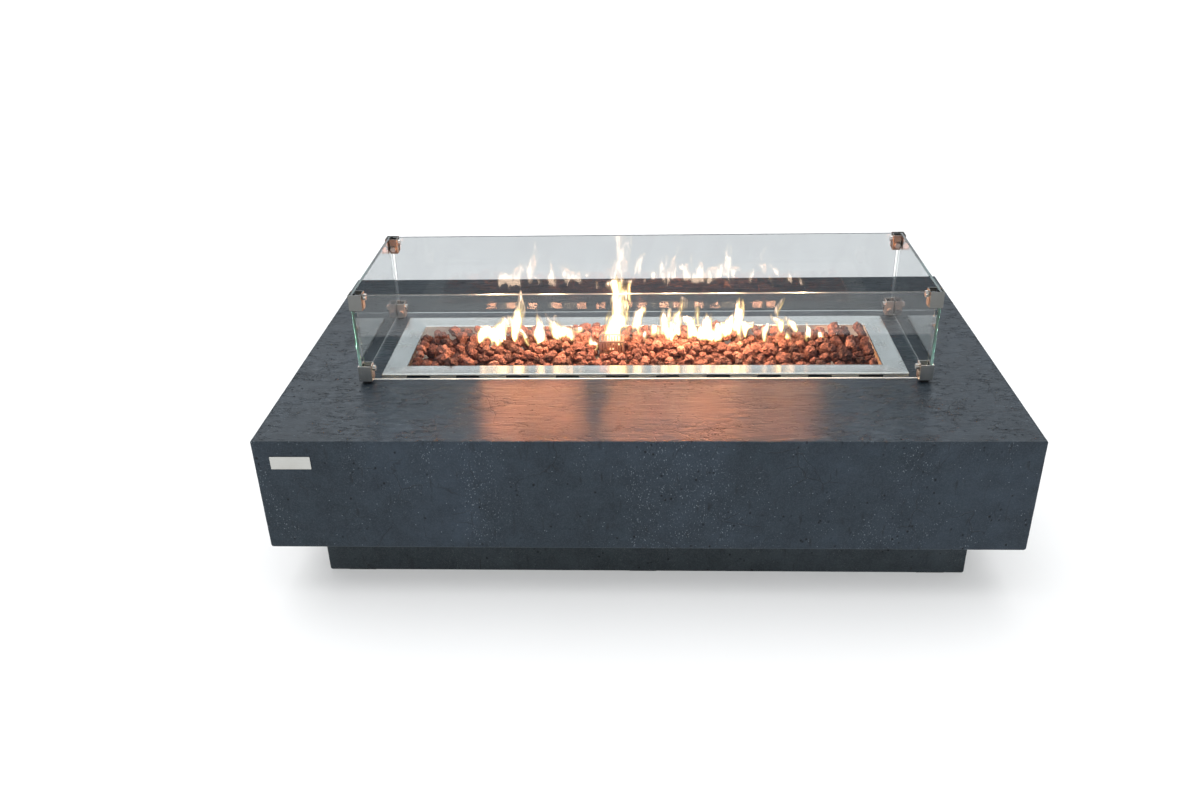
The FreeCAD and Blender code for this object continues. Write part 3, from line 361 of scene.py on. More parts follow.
def lava():
    """Lava rock: red-brown to near black per stone, rough with open pores; painted shade in the pores and in the low
    parts of its relief, painted light on the high parts.
    """
    m = Mat("lava_rock")
    p = m.coords()
    tone = m.attr("tone")
    blotch = m.noise(p, 75, 4, 0.65, 0.4)
    fine = m.noise(p, 420, 4, 0.7)
    key = m.math("MULTIPLY_ADD", m.math("SUBTRACT", blotch, 0.5), 0.75, tone, clamp=True)
    base = m.ramp(key, [(0.05, (0.040, 0.022, 0.020)), (0.30, (0.096, 0.042, 0.036)), (0.55, (0.186, 0.077, 0.058)),
                        (0.78, (0.285, 0.126, 0.097)), (0.98, (0.420, 0.215, 0.165))])
    base = m.mix(m.span(fine, 0.52, 0.78, 0.0, 0.5), base, (0.30, 0.185, 0.150))
    pore = m.voronoi(p, 185)
    pore2 = m.voronoi(p, 360)
    hole = m.span(pore, 0.24, 0.48, 1.0, 0.0)
    hole = m.math("MULTIPLY", hole, m.span(m.noise(p, 95, 2, 0.5), 0.40, 0.52))
    hole2 = m.span(pore2, 0.20, 0.44, 0.75, 0.0)
    dark = m.math("MAXIMUM", hole, hole2)
    # painted shade and light: the low parts of the relief are painted darker and the high parts lighter
    lump = m.noise(p, 165, 4, 0.7, 0.6)
    base = m.mix(m.span(lump, 0.36, 0.64), m.mix(1.0, base, (0.66, 0.60, 0.58), "MULTIPLY"), m.mix(1.0, base, (1.20, 1.20, 1.20), "MULTIPLY"))
    # painted shade: the pores are painted near black for the shade inside them
    base = m.mix(m.math("MULTIPLY", dark, 0.70), base, (0.032, 0.014, 0.011))
    h = m.math("MULTIPLY_ADD", lump, 0.9, blotch)
    h = m.math("MULTIPLY_ADD", fine, 0.35, h)
    h = m.math("MULTIPLY_ADD", dark, -0.8, h)
    m.principled(base, m.math("MULTIPLY_ADD", fine, 0.2, 0.72, clamp=True), 0.0, m.bump(h, 0.0024, 1.0), Specular_IOR_Level=0.30)
    return m.m


def glass(name, body, ends=False, crown=False):
    """Clear tempered sheet: real thickness and bending, faint grey-blue body, a film of dust, green along its ground edges."""
    m = Mat(name)
    at = m.add("SeparateXYZ")
    m.put(at.inputs[0], m.coords())
    ground = m.span(at.outputs["Z"], 0.3824, 0.3821)
    if crown:
        ground = m.math("MAXIMUM", ground, m.span(at.outputs["Z"], 0.5731, 0.5734))
    if ends:
        ground = m.math("MAXIMUM", ground, m.span(m.math("ABSOLUTE", at.outputs["Y"]), 0.1831, 0.1834))
    film = m.noise(m.coords((1, 1, 0.6)), 16, 4, 0.6, 0.8)
    fine = m.noise(m.coords(), 240, 3, 0.6)
    tint = m.mix(m.span(film, 0.42, 0.75), body, tuple(c * 0.95 for c in body))
    tint = m.mix(m.span(fine, 0.60, 0.80, 0.0, 0.35), tint, tuple(c * 0.91 for c in body))
    m.principled(tint, m.math("MULTIPLY", ground, 0.34), 0.0, None, Transmission_Weight=1.0, IOR=1.5)
    inside = m.add("VolumeAbsorption")
    inside.inputs["Color"].default_value = (0.50, 0.88, 0.80, 1)
    inside.inputs["Density"].default_value = 5.5
    m.nt.links.new(inside.outputs[0], m.out.inputs["Volume"])
    return m.m


def curve(m, x, pts):
    """A number through a curve given as points, from 0 to 1."""
    n = m.add("FloatCurve")
    m.put(n.inputs["Value"], x)
    c = n.mapping.curves[0]
    c.points[0].location, c.points[1].location = pts[0], pts[-1]
    for u, v in pts[1:-1]:
        c.points.new(u, v)
    n.mapping.update()
    return n.outputs[0]


def flame():
    """Burning gas: near white where it is thick, yellow then orange and clear towards the rim of each tongue."""
    m = Mat("flame")
    heat = m.attr("burn")
    front = m.attr("front")
    lick = m.noise(m.coords((1, 1, 0.20)), 95, 2, 0.5, 1.0)
    body = m.noise(m.coords((1, 1, 0.40)), 46, 2, 0.5, 0.6)
    key = m.math("ADD", m.span(lick, 0.30, 0.70, -0.26, 0.22), heat)
    key = m.math("ADD", m.span(body, 0.32, 0.68, -0.30, 0.30), key, clamp=True)
    key = m.math("MULTIPLY", key, m.span(heat, 0.0, 0.14), clamp=True)
    col = m.ramp(key, [(0.0, (1.0, 0.36, 0.08)), (0.22, (1.0, 0.58, 0.16)), (0.45, (1.0, 0.70, 0.24)), (0.66, (1.0, 0.66, 0.26)), (0.88, (1.0, 0.52, 0.24))])
    col = m.mix(m.math("SUBTRACT", 1.0, front), col, (1.0, 0.70, 0.48))
    power = curve(m, key, [(0.0, 0.05), (0.20, 0.08), (0.42, 0.13), (0.62, 0.23), (0.85, 0.66), (1.0, 1.0)])
    glow = m.add("Emission")
    m.put(glow.inputs["Color"], col)
    m.put(glow.inputs["Strength"], m.math("MULTIPLY", power, m.span(front, 0.0, 1.0, REAR_POWER, FLAME_POWER)))
    clear = m.add("BsdfTransparent")
    mixer = m.add("MixShader")
    m.put(mixer.inputs[0], curve(m, key, [(0.0, 0.0), (0.15, 0.05), (0.35, 0.18), (0.55, 0.44), (0.80, 0.90), (1.0, 1.0)]))
    m.nt.links.new(clear.outputs[0], mixer.inputs[1])
    m.nt.links.new(glow.outputs[0], mixer.inputs[2])
    m.nt.links.new(mixer.outputs[0], m.out.inputs["Surface"])
    return m.m


# ---------------------------------------------------------------------------
# mesh helpers
# ---------------------------------------------------------------------------


def new_object(name, verts, faces, mats, face_mats=None, smooth=True, sharp=None):
    me = bpy.data.meshes.new(name)
    me.from_pydata([tuple(v) for v in verts], [], [tuple(f) for f in faces])
    me.update()
    for mt in mats:
        me.materials.append(mt)
    if face_mats is not None:
        me.polygons.foreach_set("material_index", np.asarray(face_mats, np.int32))
    me.polygons.foreach_set("use_smooth", np.full(len(me.polygons), smooth))
    if sharp is not None:
        me.set_sharp_from_angle(angle=math.radians(sharp))
    o = bpy.data.objects.new(name, me)
    SCENE.collection.objects.link(o)
    return o


def refine(node, mat, width=0.0004, body=None, name=None, sharp=32, segments=2, angle=30, weld=2e-5, picker=None, mats=None):
    """The CAD node's shape again with its edges eased, as a piece that stands for the node."""
    src = NODES[node]
    bm = bmesh.new()
    bm.from_mesh(src.data)
    bmesh.ops.remove_doubles(bm, verts=bm.verts, dist=weld)
    bmesh.ops.dissolve_limit(bm, angle_limit=math.radians(0.6), verts=bm.verts, edges=bm.edges)
    lim = math.radians(angle)
    edges = [e for e in bm.edges if len(e.link_faces) == 2 and e.calc_face_angle(0) > lim and e.calc_length() > width * 1.2]
    if edges and width > 0:
        bmesh.ops.bevel(bm, geom=edges, offset=width, segments=segments, profile=0.5, affect="EDGES", clamp_overlap=False)
    bmesh.ops.recalc_face_normals(bm, faces=bm.faces)
    me = bpy.data.meshes.new(name or node + "_fine")
    bm.to_mesh(me)
    bm.free()
    for mt in (mats or [mat]):
        me.materials.append(mt)
    if picker is not None:
        me.polygons.foreach_set("material_index", np.array([picker(p) for p in me.polygons], np.int32))
    me.polygons.foreach_set("use_smooth", np.full(len(me.polygons), True))
    me.set_sharp_from_angle(angle=math.radians(sharp))
    o = bpy.data.objects.new(name or node + "_fine", me)
    SCENE.collection.objects.link(o)
    w = o.modifiers.new("normals", "WEIGHTED_NORMAL")
    w.keep_sharp = True
    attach(o, body or src["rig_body"])
    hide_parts(node)
    return o


def paint(node, mat, smooth=30):
    """A finish on a CAD node that keeps its own shape."""
    o = NODES[node]
    o.data.materials.clear()
    o.data.materials.append(mat)
    return o


def side_samples(n, extra=()):
    """Sorted sample positions from -1 to 1 along a side."""
    s = list(np.linspace(-1, 1, n + 1)) + [float(e) for e in extra]
    s.sort()
    keep = [s[0]]
    for v in s[1:]:
        if v - keep[-1] > 1e-6:
            keep.append(v)
    keep[-1] = 1.0
    return keep


def rect_ring(hx, hy, r, sx, sy, nc):
    """Points round a rectangle with rounded corners, counter-clockwise from the front left, with each point's outward direction and side number (0 front, 1 right, 2 back, 3 left)."""
    pts, side = [], []
    r = max(r, 1e-6)
    for s in sx:
        pts.append((s * (hx - r), -hy))
        side.append(0)
    for k in range(1, nc):
        a = -math.pi / 2 + math.pi / 2 * k / nc
        pts.append((hx - r + r * math.cos(a), -hy + r + r * math.sin(a)))
        side.append(0 if k <= nc / 2 else 1)
    for s in sy:
        pts.append((hx, s * (hy - r)))
        side.append(1)
    for k in range(1, nc):
        a = math.pi / 2 * k / nc
        pts.append((hx - r + r * math.cos(a), hy - r + r * math.sin(a)))
        side.append(1 if k <= nc / 2 else 2)
    for s in sx[::-1]:
        pts.append((s * (hx - r), hy))
        side.append(2)
    for k in range(1, nc):
        a = math.pi / 2 + math.pi / 2 * k / nc
        pts.append((-hx + r + r * math.cos(a), hy - r + r * math.sin(a)))
        side.append(2 if k <= nc / 2 else 3)
    for s in sy[::-1]:
        pts.append((-hx, s * (hy - r)))
        side.append(3)
    for k in range(1, nc):
        a = math.pi + math.pi / 2 * k / nc
        pts.append((-hx + r + r * math.cos(a), -hy + r + r * math.sin(a)))
        side.append(3 if k <= nc / 2 else 0)
    return np.array(pts), np.array(side)


def arc_steps(n):
    return [math.pi / 2 * i / n for i in range(n + 1)]


# ---------------------------------------------------------------------------
# concrete slab and plinth
# ---------------------------------------------------------------------------
HX, HY, TOP, SLAB_Z = 0.762, 0.430, 0.371, 0.119
WALL, TOP_T, ER, EB = 0.016, 0.022, 0.003, 0.007
CX, CY = 0.529, 0.119
WIN_Y, WIN_Z0, WIN_Z1 = 0.070, 0.212, 0.278


def relief(p, n, amp, size, seed):
    """Hand-trowelled waviness: long swells with slate-like ledges between them."""
    q = Vector((p[0] + seed, p[1], p[2]))
    big = noise.fractal(q * (1 / size), 0.9, 2.1, 3)
    led = noise.fractal(Vector((q.x * 0.7, q.y * 1.4, q.z * 1.4)) * (2.1 / size), 0.7, 2.2, 3)
    led = math.tanh(led * 3.0) * 0.5
    return amp * (0.75 * big + 0.65 * led)


def make_slab(mat):
    sx = side_samples(196)
    hyw = HY - ER
    sy = side_samples(112, (-WIN_Y / hyw, WIN_Y / hyw))
    nc = 4
    rings = []        # (hx, hy, corner radius, z, wave share)
    zs = sorted(set(np.round(np.linspace(SLAB_Z + EB, TOP - ER, 31), 5)) | {WIN_Z0, WIN_Z1})
    zs = [z for z in zs if z in (WIN_Z0, WIN_Z1) or min(abs(z - WIN_Z0), abs(z - WIN_Z1)) > 0.003]
    for a in arc_steps(4)[:-1]:
        d = EB - EB * math.sin(a)
        rings.append((HX - d, HY - d, ER, SLAB_Z + EB - EB * math.cos(a), 0.3))
    outer_z = {}
    for z in zs:
        outer_z[round(z, 5)] = len(rings)
        rings.append((HX, HY, ER, z, 1.0))
    for a in arc_steps(5)[1:]:
        d = ER - ER * math.cos(a)
        rings.append((HX - d, HY - d, max(ER - d, 2e-4), TOP - ER + ER * math.sin(a), 0.6))
    nt = 62
    for k in range(1, nt + 1):
        t = k / nt
        rings.append((HX - ER + (CX - HX + ER) * t, HY - ER + (CY - HY + ER) * t, 2e-4 + 0.008 * t, TOP, 1.0 if t < 0.97 else 0.3))
    rings.append((CX, CY, 0.008, TOP - 0.011, 0.0))
    rings.append((CX, CY, 0.008, TOP - TOP_T, 0.0))
    rings.append((HX - WALL, HY - WALL, 0.0015, TOP - TOP_T, 0.0))
    inner_z = {}
    for z in (WIN_Z1, WIN_Z0):
        inner_z[round(z, 5)] = len(rings)
        rings.append((HX - WALL, HY - WALL, 0.0015, z, 0.0))
    rings.append((HX - WALL, HY - WALL, 0.0015, SLAB_Z, 0.0))
    verts, side = [], None
    n_ring = None
    for hx, hy, r, z, w in rings:
        pts, side = rect_ring(hx, hy, r, sx, sy, nc)
        n_ring = len(pts)
        # the window's edges stay where they are along the right-hand wall
        if abs(hx - HX) < 1e-9 or abs(hx - (HX - WALL)) < 1e-9:
            s_i = [i for i in range(n_ring) if side[i] == 1]
            for want in (-WIN_Y, WIN_Y):
                j = min(s_i, key=lambda i: abs(pts[i][1] - want))
                pts[j][1] = want
        for (x, y), s in zip(pts, side):
            if w > 0:
                if z >= TOP - 1e-6:
                    nrm = (0, 0, 1)
                else:
                    nrm = {0: (0, -1, 0), 1: (1, 0, 0), 2: (0, 1, 0), 3: (-1, 0, 0)}[int(s)]
                far = min(1.0, max(0.0, (max(abs(x) - 0.50, abs(y) - 0.10)) / 0.03)) if z >= TOP - 1e-6 else 1.0
                amp = 0.00042 if z >= TOP - 1e-6 else 0.00030
                d = relief((x, y, z), nrm, amp, 0.055, 3.0) * w
                d = min(d, 0.0004)
                verts.append((x + nrm[0] * d, y + nrm[1] * d, z + nrm[2] * d))
            else:
                verts.append((x, y, z))
    faces = []
    nr = len(rings)
    # which columns span the window
    pts, side = rect_ring(HX, HY, ER, sx, sy, nc)
    col = [i for i in range(n_ring) if side[i] == 1 and abs(pts[i][0] - HX) < 1e-6]
    lo = min(col, key=lambda i: abs(pts[i][1] + WIN_Y))
    hi = min(col, key=lambda i: abs(pts[i][1] - WIN_Y))
    o0, o1 = outer_z[round(WIN_Z0, 5)], outer_z[round(WIN_Z1, 5)]
    i1, i0 = inner_z[round(WIN_Z1, 5)], inner_z[round(WIN_Z0, 5)]
    for j in range(nr):
        jj = (j + 1) % nr
        for i in range(n_ring):
            ii = (i + 1) % n_ring
            if lo <= i < hi and (o0 <= j < o1 or j == i1):
                continue
            faces.append((j * n_ring + i, j * n_ring + ii, jj * n_ring + ii, jj * n_ring + i))
    # reveals of the window
    for i in range(lo, hi):
        faces.append((o0 * n_ring + i, i0 * n_ring + i, i0 * n_ring + i + 1, o0 * n_ring + i + 1))
        faces.append((o1 * n_ring + i, o1 * n_ring + i + 1, i1 * n_ring + i + 1, i1 * n_ring + i))
    for i, flip in ((lo, False), (hi, True)):
        ring = [j * n_ring + i for j in range(o0, o1 + 1)] + [i1 * n_ring + i, i0 * n_ring + i]
        faces.append(tuple(ring if flip else ring[::-1]))
    o = new_object("slab_cast", verts, faces, [mat], smooth=True, sharp=50)
    bm = bmesh.new()
    bm.from_mesh(o.data)
    bmesh.ops.recalc_face_normals(bm, faces=bm.faces)
    bm.to_mesh(o.data)
    bm.free()
    o.data.set_sharp_from_angle(angle=math.radians(50))
    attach(o, "root")
    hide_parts("table_shell")
    return o


def make_plinth(mat):
    px, py = 0.6785, 0.3465
    sx, sy = side_samples(150), side_samples(84)
    rings = []
    for a in arc_steps(4)[:-1]:
        d = 0.005 - 0.005 * math.sin(a)
        rings.append((px - d, py - d, ER, 0.005 - 0.005 * math.cos(a), 0.0 if d > 0.004 else 0.4))
    for z in np.linspace(0.005, SLAB_Z - 0.004, 16):
        rings.append((px, py, ER, float(z), 1.0))
    rings += [(px, py, ER, SLAB_Z, 0.0), (px - WALL, py - WALL, 0.0008, SLAB_Z, 0.0), (px - WALL, py - WALL, 0.0008, 0.0, 0.0)]
    verts = []
    for hx, hy, r, z, w in rings:
        pts, side = rect_ring(hx, hy, r, sx, sy, 4)
        n = len(pts)
        for (x, y), s in zip(pts, side):
            d = min(0.0004, relief((x, y, z), None, 0.00030, 0.05, 11.0) * w) if w else 0.0
            nrm = {0: (0, -1), 1: (1, 0), 2: (0, 1), 3: (-1, 0)}[int(s)]
            verts.append((x + nrm[0] * d, y + nrm[1] * d, z))
    faces = []
    for j in range(len(rings)):
        jj = (j + 1) % len(rings)
        for i in range(n):
            faces.append((j * n + i, j * n + (i + 1) % n, jj * n + (i + 1) % n, jj * n + i))
    o = new_object("plinth_cast", verts, faces, [mat], smooth=True, sharp=50)
    bm = bmesh.new()
    bm.from_mesh(o.data)
    bmesh.ops.recalc_face_normals(bm, faces=bm.faces)
    bm.to_mesh(o.data)
    bm.free()
    o.data.set_sharp_from_angle(angle=math.radians(50))
    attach(o, "root")
    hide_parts("base_plinth")
    return o


# ---------------------------------------------------------------------------
# burner pan
# ---------------------------------------------------------------------------


def make_pan(mat_x, mat_y, mat_in, mat_lip):
    rx, ry, qx, qy = 0.564, 0.154, 0.5165, 0.107
    t = 0.0016
    z_out, z_in = 0.3798, 0.3778
    floor_z = 0.286
    notch_top = TOP + 0.0052
    pitch, nl = 0.1076, 0.051
    nx = [((i - 4.5) * pitch) for i in range(10)]
    ny = [-pitch / 2, pitch / 2]

    def edge_marks(centres, half):
        out = []
        for c in centres:
            for s in (-1, 1):
                e = c + s * nl / 2
                for d in (0.0, 0.0009, 0.0022):
                    out.append((e - s * d) / half)
        return out

    r_out = 0.0022
    sx = side_samples(120, edge_marks(nx, rx - r_out))
    sy = side_samples(36, edge_marks(ny, ry - r_out))
    nc = 4

    def notch(u, centres):
        """Height of the lip's lower edge at u along a side."""
        for c in centres:
            d = nl / 2 - abs(u - c)
            if d > -1e-5:
                k = min(1.0, max(0.0, (d + 1e-5) / 0.0022))
                return TOP + (notch_top - TOP) * (0.55 + 0.45 * math.sqrt(max(0.0, 1 - (1 - k) ** 2))) if d > 1e-4 else TOP
        return TOP

    prof = []   # (offset inward from the outer edge in mm-free metres, z, kind)
    prof.append((0.0, None, "lip"))
    prof.append((0.0, TOP + 0.0062, ""))
    rb = 0.0020
    for a in arc_steps(4):
        prof.append((rb - rb * math.cos(a), z_out - rb + rb * math.sin(a), ""))
    width = rx - qx
    nrim = 16
    rb2 = 0.0026
    for k in range(1, nrim + 1):
        u = k / nrim
        d = rb + (width - rb2 - rb) * u
        prof.append((d, z_out + (z_in - z_out) * u, "rim%f" % u))
    for a in arc_steps(5)[1:]:
        prof.append((width - rb2 + rb2 * math.sin(a), z_in - rb2 + rb2 * math.cos(a), ""))
    for z in (0.366, 0.345, 0.320, floor_z + 0.004):
        prof.append((width, z, ""))
    for a in arc_steps(3)[1:]:
        prof.append((width + 0.004 - 0.004 * math.cos(a), floor_z + 0.004 - 0.004 * math.sin(a), ""))
    n_top = len(prof)
    prof.append((width + 0.02, floor_z, "floor"))
    prof.append((width + 0.02, floor_z - t, "under"))
    for a in arc_steps(3)[::-1]:
        prof.append((width + 0.004 - 0.0056 * math.cos(a), floor_z + 0.004 - 0.0056 * math.sin(a), ""))
    prof.append((width - t, 0.345, ""))
    for a in arc_steps(4)[::-1]:
        prof.append((width - rb2 - 0.0 + (rb2 - t) * math.sin(a), z_in - rb2 + (rb2 - t) * math.cos(a), ""))
    for k in range(5, 0, -1):
        u = k / 6
        d = rb + (width - rb2 - rb) * u
        prof.append((d, z_out + (z_in - z_out) * u - t, "rim%f" % u))
    prof.append((rb + 0.0002, z_out - t, ""))
    prof.append((t, z_out - t - 0.0006, ""))
    prof.append((t, TOP + 0.0062, ""))
    prof.append((t, None, "lip"))

    verts = []
    for d, z, kind in prof:
        hx, hy = rx - d, ry - d
        r = max(0.0003, r_out - d) if d < width - 0.004 else 0.0012
        pts, side = rect_ring(hx, hy, r, sx, sy, nc)
        n = len(pts)
        for (x, y), s in zip(pts, side):
            zz = z
            if kind == "lip":
                zz = notch(x, nx) if s in (0, 2) and abs(x) < rx - 0.004 else (notch(y, ny) if s in (1, 3) and abs(y) < ry - 0.004 else TOP)
                if s in (0, 2) and d > 0:
                    zz = notch(x * (rx - r_out) / (rx - r_out - d) if d else x, nx)
                if s in (1, 3) and d > 0:
                    zz = notch(y * (ry - r_out) / (ry - r_out - d) if d else y, ny)
            if kind.startswith("rim"):
                u = float(kind[3:])
                # the sheet is drawn flat along the mitres and dishes a little between them
                away = min(1.0, max(0.0, ((rx - abs(x)) - (ry - abs(y))) / 0.05)) if s in (0, 2) else min(1.0, max(0.0, ((ry - abs(y)) - (rx - abs(x))) / 0.05))
                away = away * away * (3 - 2 * away)
                zz -= 0.00055 * math.sin(math.pi * u) * away
                zz += 0.00025 * (1 - away) * math.sin(math.pi * u)
                # faint oil-canning along the long sides
                if s in (0, 2):
                    zz += 0.00016 * math.sin(x * 17 + 1.3) * math.sin(math.pi * u)
            verts.append((x, y, zz))
    n_prof = len(prof)
    pts, side = rect_ring(rx, ry, r_out, sx, sy, nc)
    faces, fm = [], []
    for j in range(n_prof):
        jj = (j + 1) % n_prof
        if prof[j][2] == "floor" and prof[jj][2] == "under":
            continue
        for i in range(n):
            faces.append((j * n + i, j * n + (i + 1) % n, jj * n + (i + 1) % n, jj * n + i))
            deep = j >= 27 and j < n_prof - 16
            fm.append(3 if j == 0 else (2 if deep else (0 if side[i] in (0, 2) else 1)))
    # floor, upper and lower face
    nsx, nsy = len(sx), len(sy)
    front = list(range(nsx))
    right = list(range(nsx - 1, nsx - 1 + nc + nsy - 1 + nc + 0))
    back0 = nsx + (nc - 1) + nsy + (nc - 1)
    back = list(range(back0, back0 + nsx))
    for j, flip in ((n_top, False), (n_top + 1, True)):
        for i in range(nsx - 1):
            q = (j * n + front[i], j * n + front[i + 1], j * n + back[nsx - 2 - i], j * n + back[nsx - 1 - i])
            faces.append(q[::-1] if flip else q)
            fm.append(2)
        a = [j * n + k for k in range(nsx - 1, back0 + 1)]
        b = [j * n + k % n for k in range(back0 + nsx - 1, n + 1)]
        for poly in (a, b):
            faces.append(tuple(poly[::-1] if flip else poly))
            fm.append(2)
    o = new_object("burner_pan_folded", verts, faces, [mat_x, mat_y, mat_in, mat_lip], fm, smooth=True, sharp=38)
    bm = bmesh.new()
    bm.from_mesh(o.data)
    bmesh.ops.recalc_face_normals(bm, faces=bm.faces)
    bm.to_mesh(o.data)
    bm.free()
    o.data.set_sharp_from_angle(angle=math.radians(38))
    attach(o, "root")
    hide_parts("burner_pan")
    return o


# ---------------------------------------------------------------------------
# lava rocks
# ---------------------------------------------------------------------------


def rock_shapes(count, subdiv, seed):
    shapes = []
    rnd = random.Random(seed)
    for k in range(count):
        bm = bmesh.new()
        bmesh.ops.create_icosphere(bm, subdivisions=subdiv, radius=1.0)
        off = Vector((rnd.uniform(-50, 50), rnd.uniform(-50, 50), rnd.uniform(-50, 50)))
        cuts = []
        for _ in range(rnd.randint(6, 9)):
            d = Vector((rnd.gauss(0, 1), rnd.gauss(0, 1), rnd.gauss(0, 1))).normalized()
            cuts.append((d, rnd.uniform(0.60, 0.88)))
        co = []
        for v in bm.verts:
            p = v.co.normalized()
            r = 1.0 + 0.24 * noise.fractal(p * 1.2 + off, 0.9, 2.0, 2)
            q = p * r
            for d, h in cuts:         # broken faces
                over = q.dot(d) - h
                if over > 0:
                    q = q - d * over * 0.90
            knob = noise.fractal(p * 3.3 + off, 0.6, 2.2, 3)
            q = q + p * (0.17 * knob)
            ridge = abs(noise.noise(p * 4.6 - off))
            q = q + p * (0.15 * (0.35 - ridge))
            pit = noise.noise(p * 8.5 + off)
            q = q - p * (0.24 * max(0.0, pit - 0.02))
            co.append(q)
        faces = [tuple(v.index for v in f.verts) for f in bm.faces]
        bm.free()
        a = np.array([tuple(c) for c in co])
        a -= a.mean(0)
        a /= np.abs(a).max()
        shapes.append((a, np.array(faces)))
    return shapes


def pack_rocks(seed=7):
    """Drops rocks one by one onto a height map of the bed until it is full."""
    rnd = random.Random(seed)
    cell = 0.003
    x0, x1, y0, y1 = -0.5135, 0.5135, -0.1042, 0.1042
    nx, ny = int((x1 - x0) / cell), int((y1 - y0) / cell)
    top = np.full((nx, ny), 0.318)
    gx, gy = np.meshgrid(x0 + (np.arange(nx) + 0.5) * cell, y0 + (np.arange(ny) + 0.5) * cell, indexing="ij")
    blocked = (gx > -0.0985) & (gx < -0.0395) & (gy > -0.0475) & (gy < -0.0045)
    top[blocked] = 0.60
    # the top of the fill: level behind the front rim, lower at the back of the two ends
    fill = 0.3800 + 0.0075 * np.clip((gy + 0.09) / 0.07, 0, 1) + 0.003 * np.clip((np.abs(gx) - 0.36) / 0.06, 0, 1) - 0.020 * np.clip((-gx - 0.470) / 0.03, 0, 1) * np.clip((gy - 0.03) / 0.04, 0, 1)
    fill = fill - 0.022 * np.exp(-((gx - 0.385) / 0.022) ** 2) * np.clip((gy - 0.055) / 0.03, 0, 1)
    fill = fill + 0.0025 * np.sin(gx * 21 + 0.6) * np.cos(gy * 33)
    # heaped up in front of the pilot guard
    fill = fill + 0.011 * np.exp(-((gx + 0.069) / 0.036) ** 2) * np.clip((-0.040 - gy) / 0.008, 0, 1) * np.clip((gy + 0.096) / 0.03, 0, 1)
    out = []
    # a coarse layer underneath, then the stones that show: small and broken over the burner, large at the two ends
    for sizes, most, under in (((0.0150, 0.0170, 0.0190), 330, 0.016), ((0.0078, 0.0092, 0.0105, 0.0118, 0.0132, 0.0148, 0.0164, 0.0180), 1700, 0.0)):
        if under == 0.0:          # stones that lean on the two end walls
            for side in (-1, 1):
                y = -0.092
                while y < 0.094:
                    size = rnd.uniform(0.0115, 0.0150)
                    x = side * (0.5150 - size * rnd.uniform(1.0, 1.25))
                    if not (side < 0 and y > 0.066):
                        i0, i1 = max(0, int((x - size - x0) / cell)), min(nx, int((x + size - x0) / cell) + 1)
                        j0, j1 = max(0, int((y - size - y0) / cell)), min(ny, int((y + size - y0) / cell) + 1)
                        z = float(fill[(i0 + i1) // 2, (j0 + j1) // 2]) - size * rnd.uniform(0.75, 1.1)
                        near = (gx[i0:i1, j0:j1] - x) ** 2 + (gy[i0:i1, j0:j1] - y) ** 2 < size * size
                        top[i0:i1, j0:j1][near] = np.maximum(top[i0:i1, j0:j1][near], z + size * 0.8)
                        out.append((x, min(0.0915, y), z, size, size * 0.95, size * 0.92))
                    y += size * rnd.uniform(1.55, 1.85)
        misses, count = 0, 0
        while misses < 400 and count < most:
            size = rnd.choice(sizes)
            a, b, c = size * rnd.uniform(0.98, 1.22), size * rnd.uniform(0.84, 1.06), size * rnd.uniform(0.76, 0.98)
            rad = max(a, b)
            best = None
            for _ in range(10):
                x = rnd.uniform(x0 + rad * 0.80, x1 - rad * 0.80)
                y = rnd.uniform(y0 + rad * 0.80, y1 - rad * 0.80)
                if under == 0.0:
                    ends = abs(x) > 0.345 + 0.04 * math.sin(y * 60 + x * 9)
                    if ends and size < 0.0125 and rnd.random() < 0.80 or not ends and size > 0.0140 and rnd.random() < 0.85:
                        continue
                i0, i1 = max(0, int((x - rad - x0) / cell)), min(nx, int((x + rad - x0) / cell) + 1)
                j0, j1 = max(0, int((y - rad - y0) / cell)), min(ny, int((y + rad - y0) / cell) + 1)
                gxx, gyy = gx[i0:i1, j0:j1], gy[i0:i1, j0:j1]
                s = ((gxx - x) ** 2 + (gyy - y) ** 2) / (a * b)
                inside = s < 1
                if not inside.any():
                    continue
                dome = np.where(inside, np.sqrt(np.clip(1 - s, 0, 1)), 0)
                z = float((top[i0:i1, j0:j1] + c * dome * 0.90)[inside].max())
                lim = float(fill[min(nx - 1, max(0, int((x - x0) / cell))), min(ny - 1, max(0, int((y - y0) / cell)))]) - under
                if lim - (z + c) < -0.42 * c:
                    continue
                if best is None or z < best[0]:
                    best = (z, x, y, i0, i1, j0, j1, inside, dome)
            if best is None:
                misses += 1
                continue
            misses = max(0, misses - 1)
            count += 1
            z, x, y, i0, i1, j0, j1, inside, dome = best
            patch = top[i0:i1, j0:j1]
            patch[inside] = np.maximum(patch[inside], (z + c * dome * 0.92)[inside])
            out.append((x, y, z, a, b, c))
    return out, top


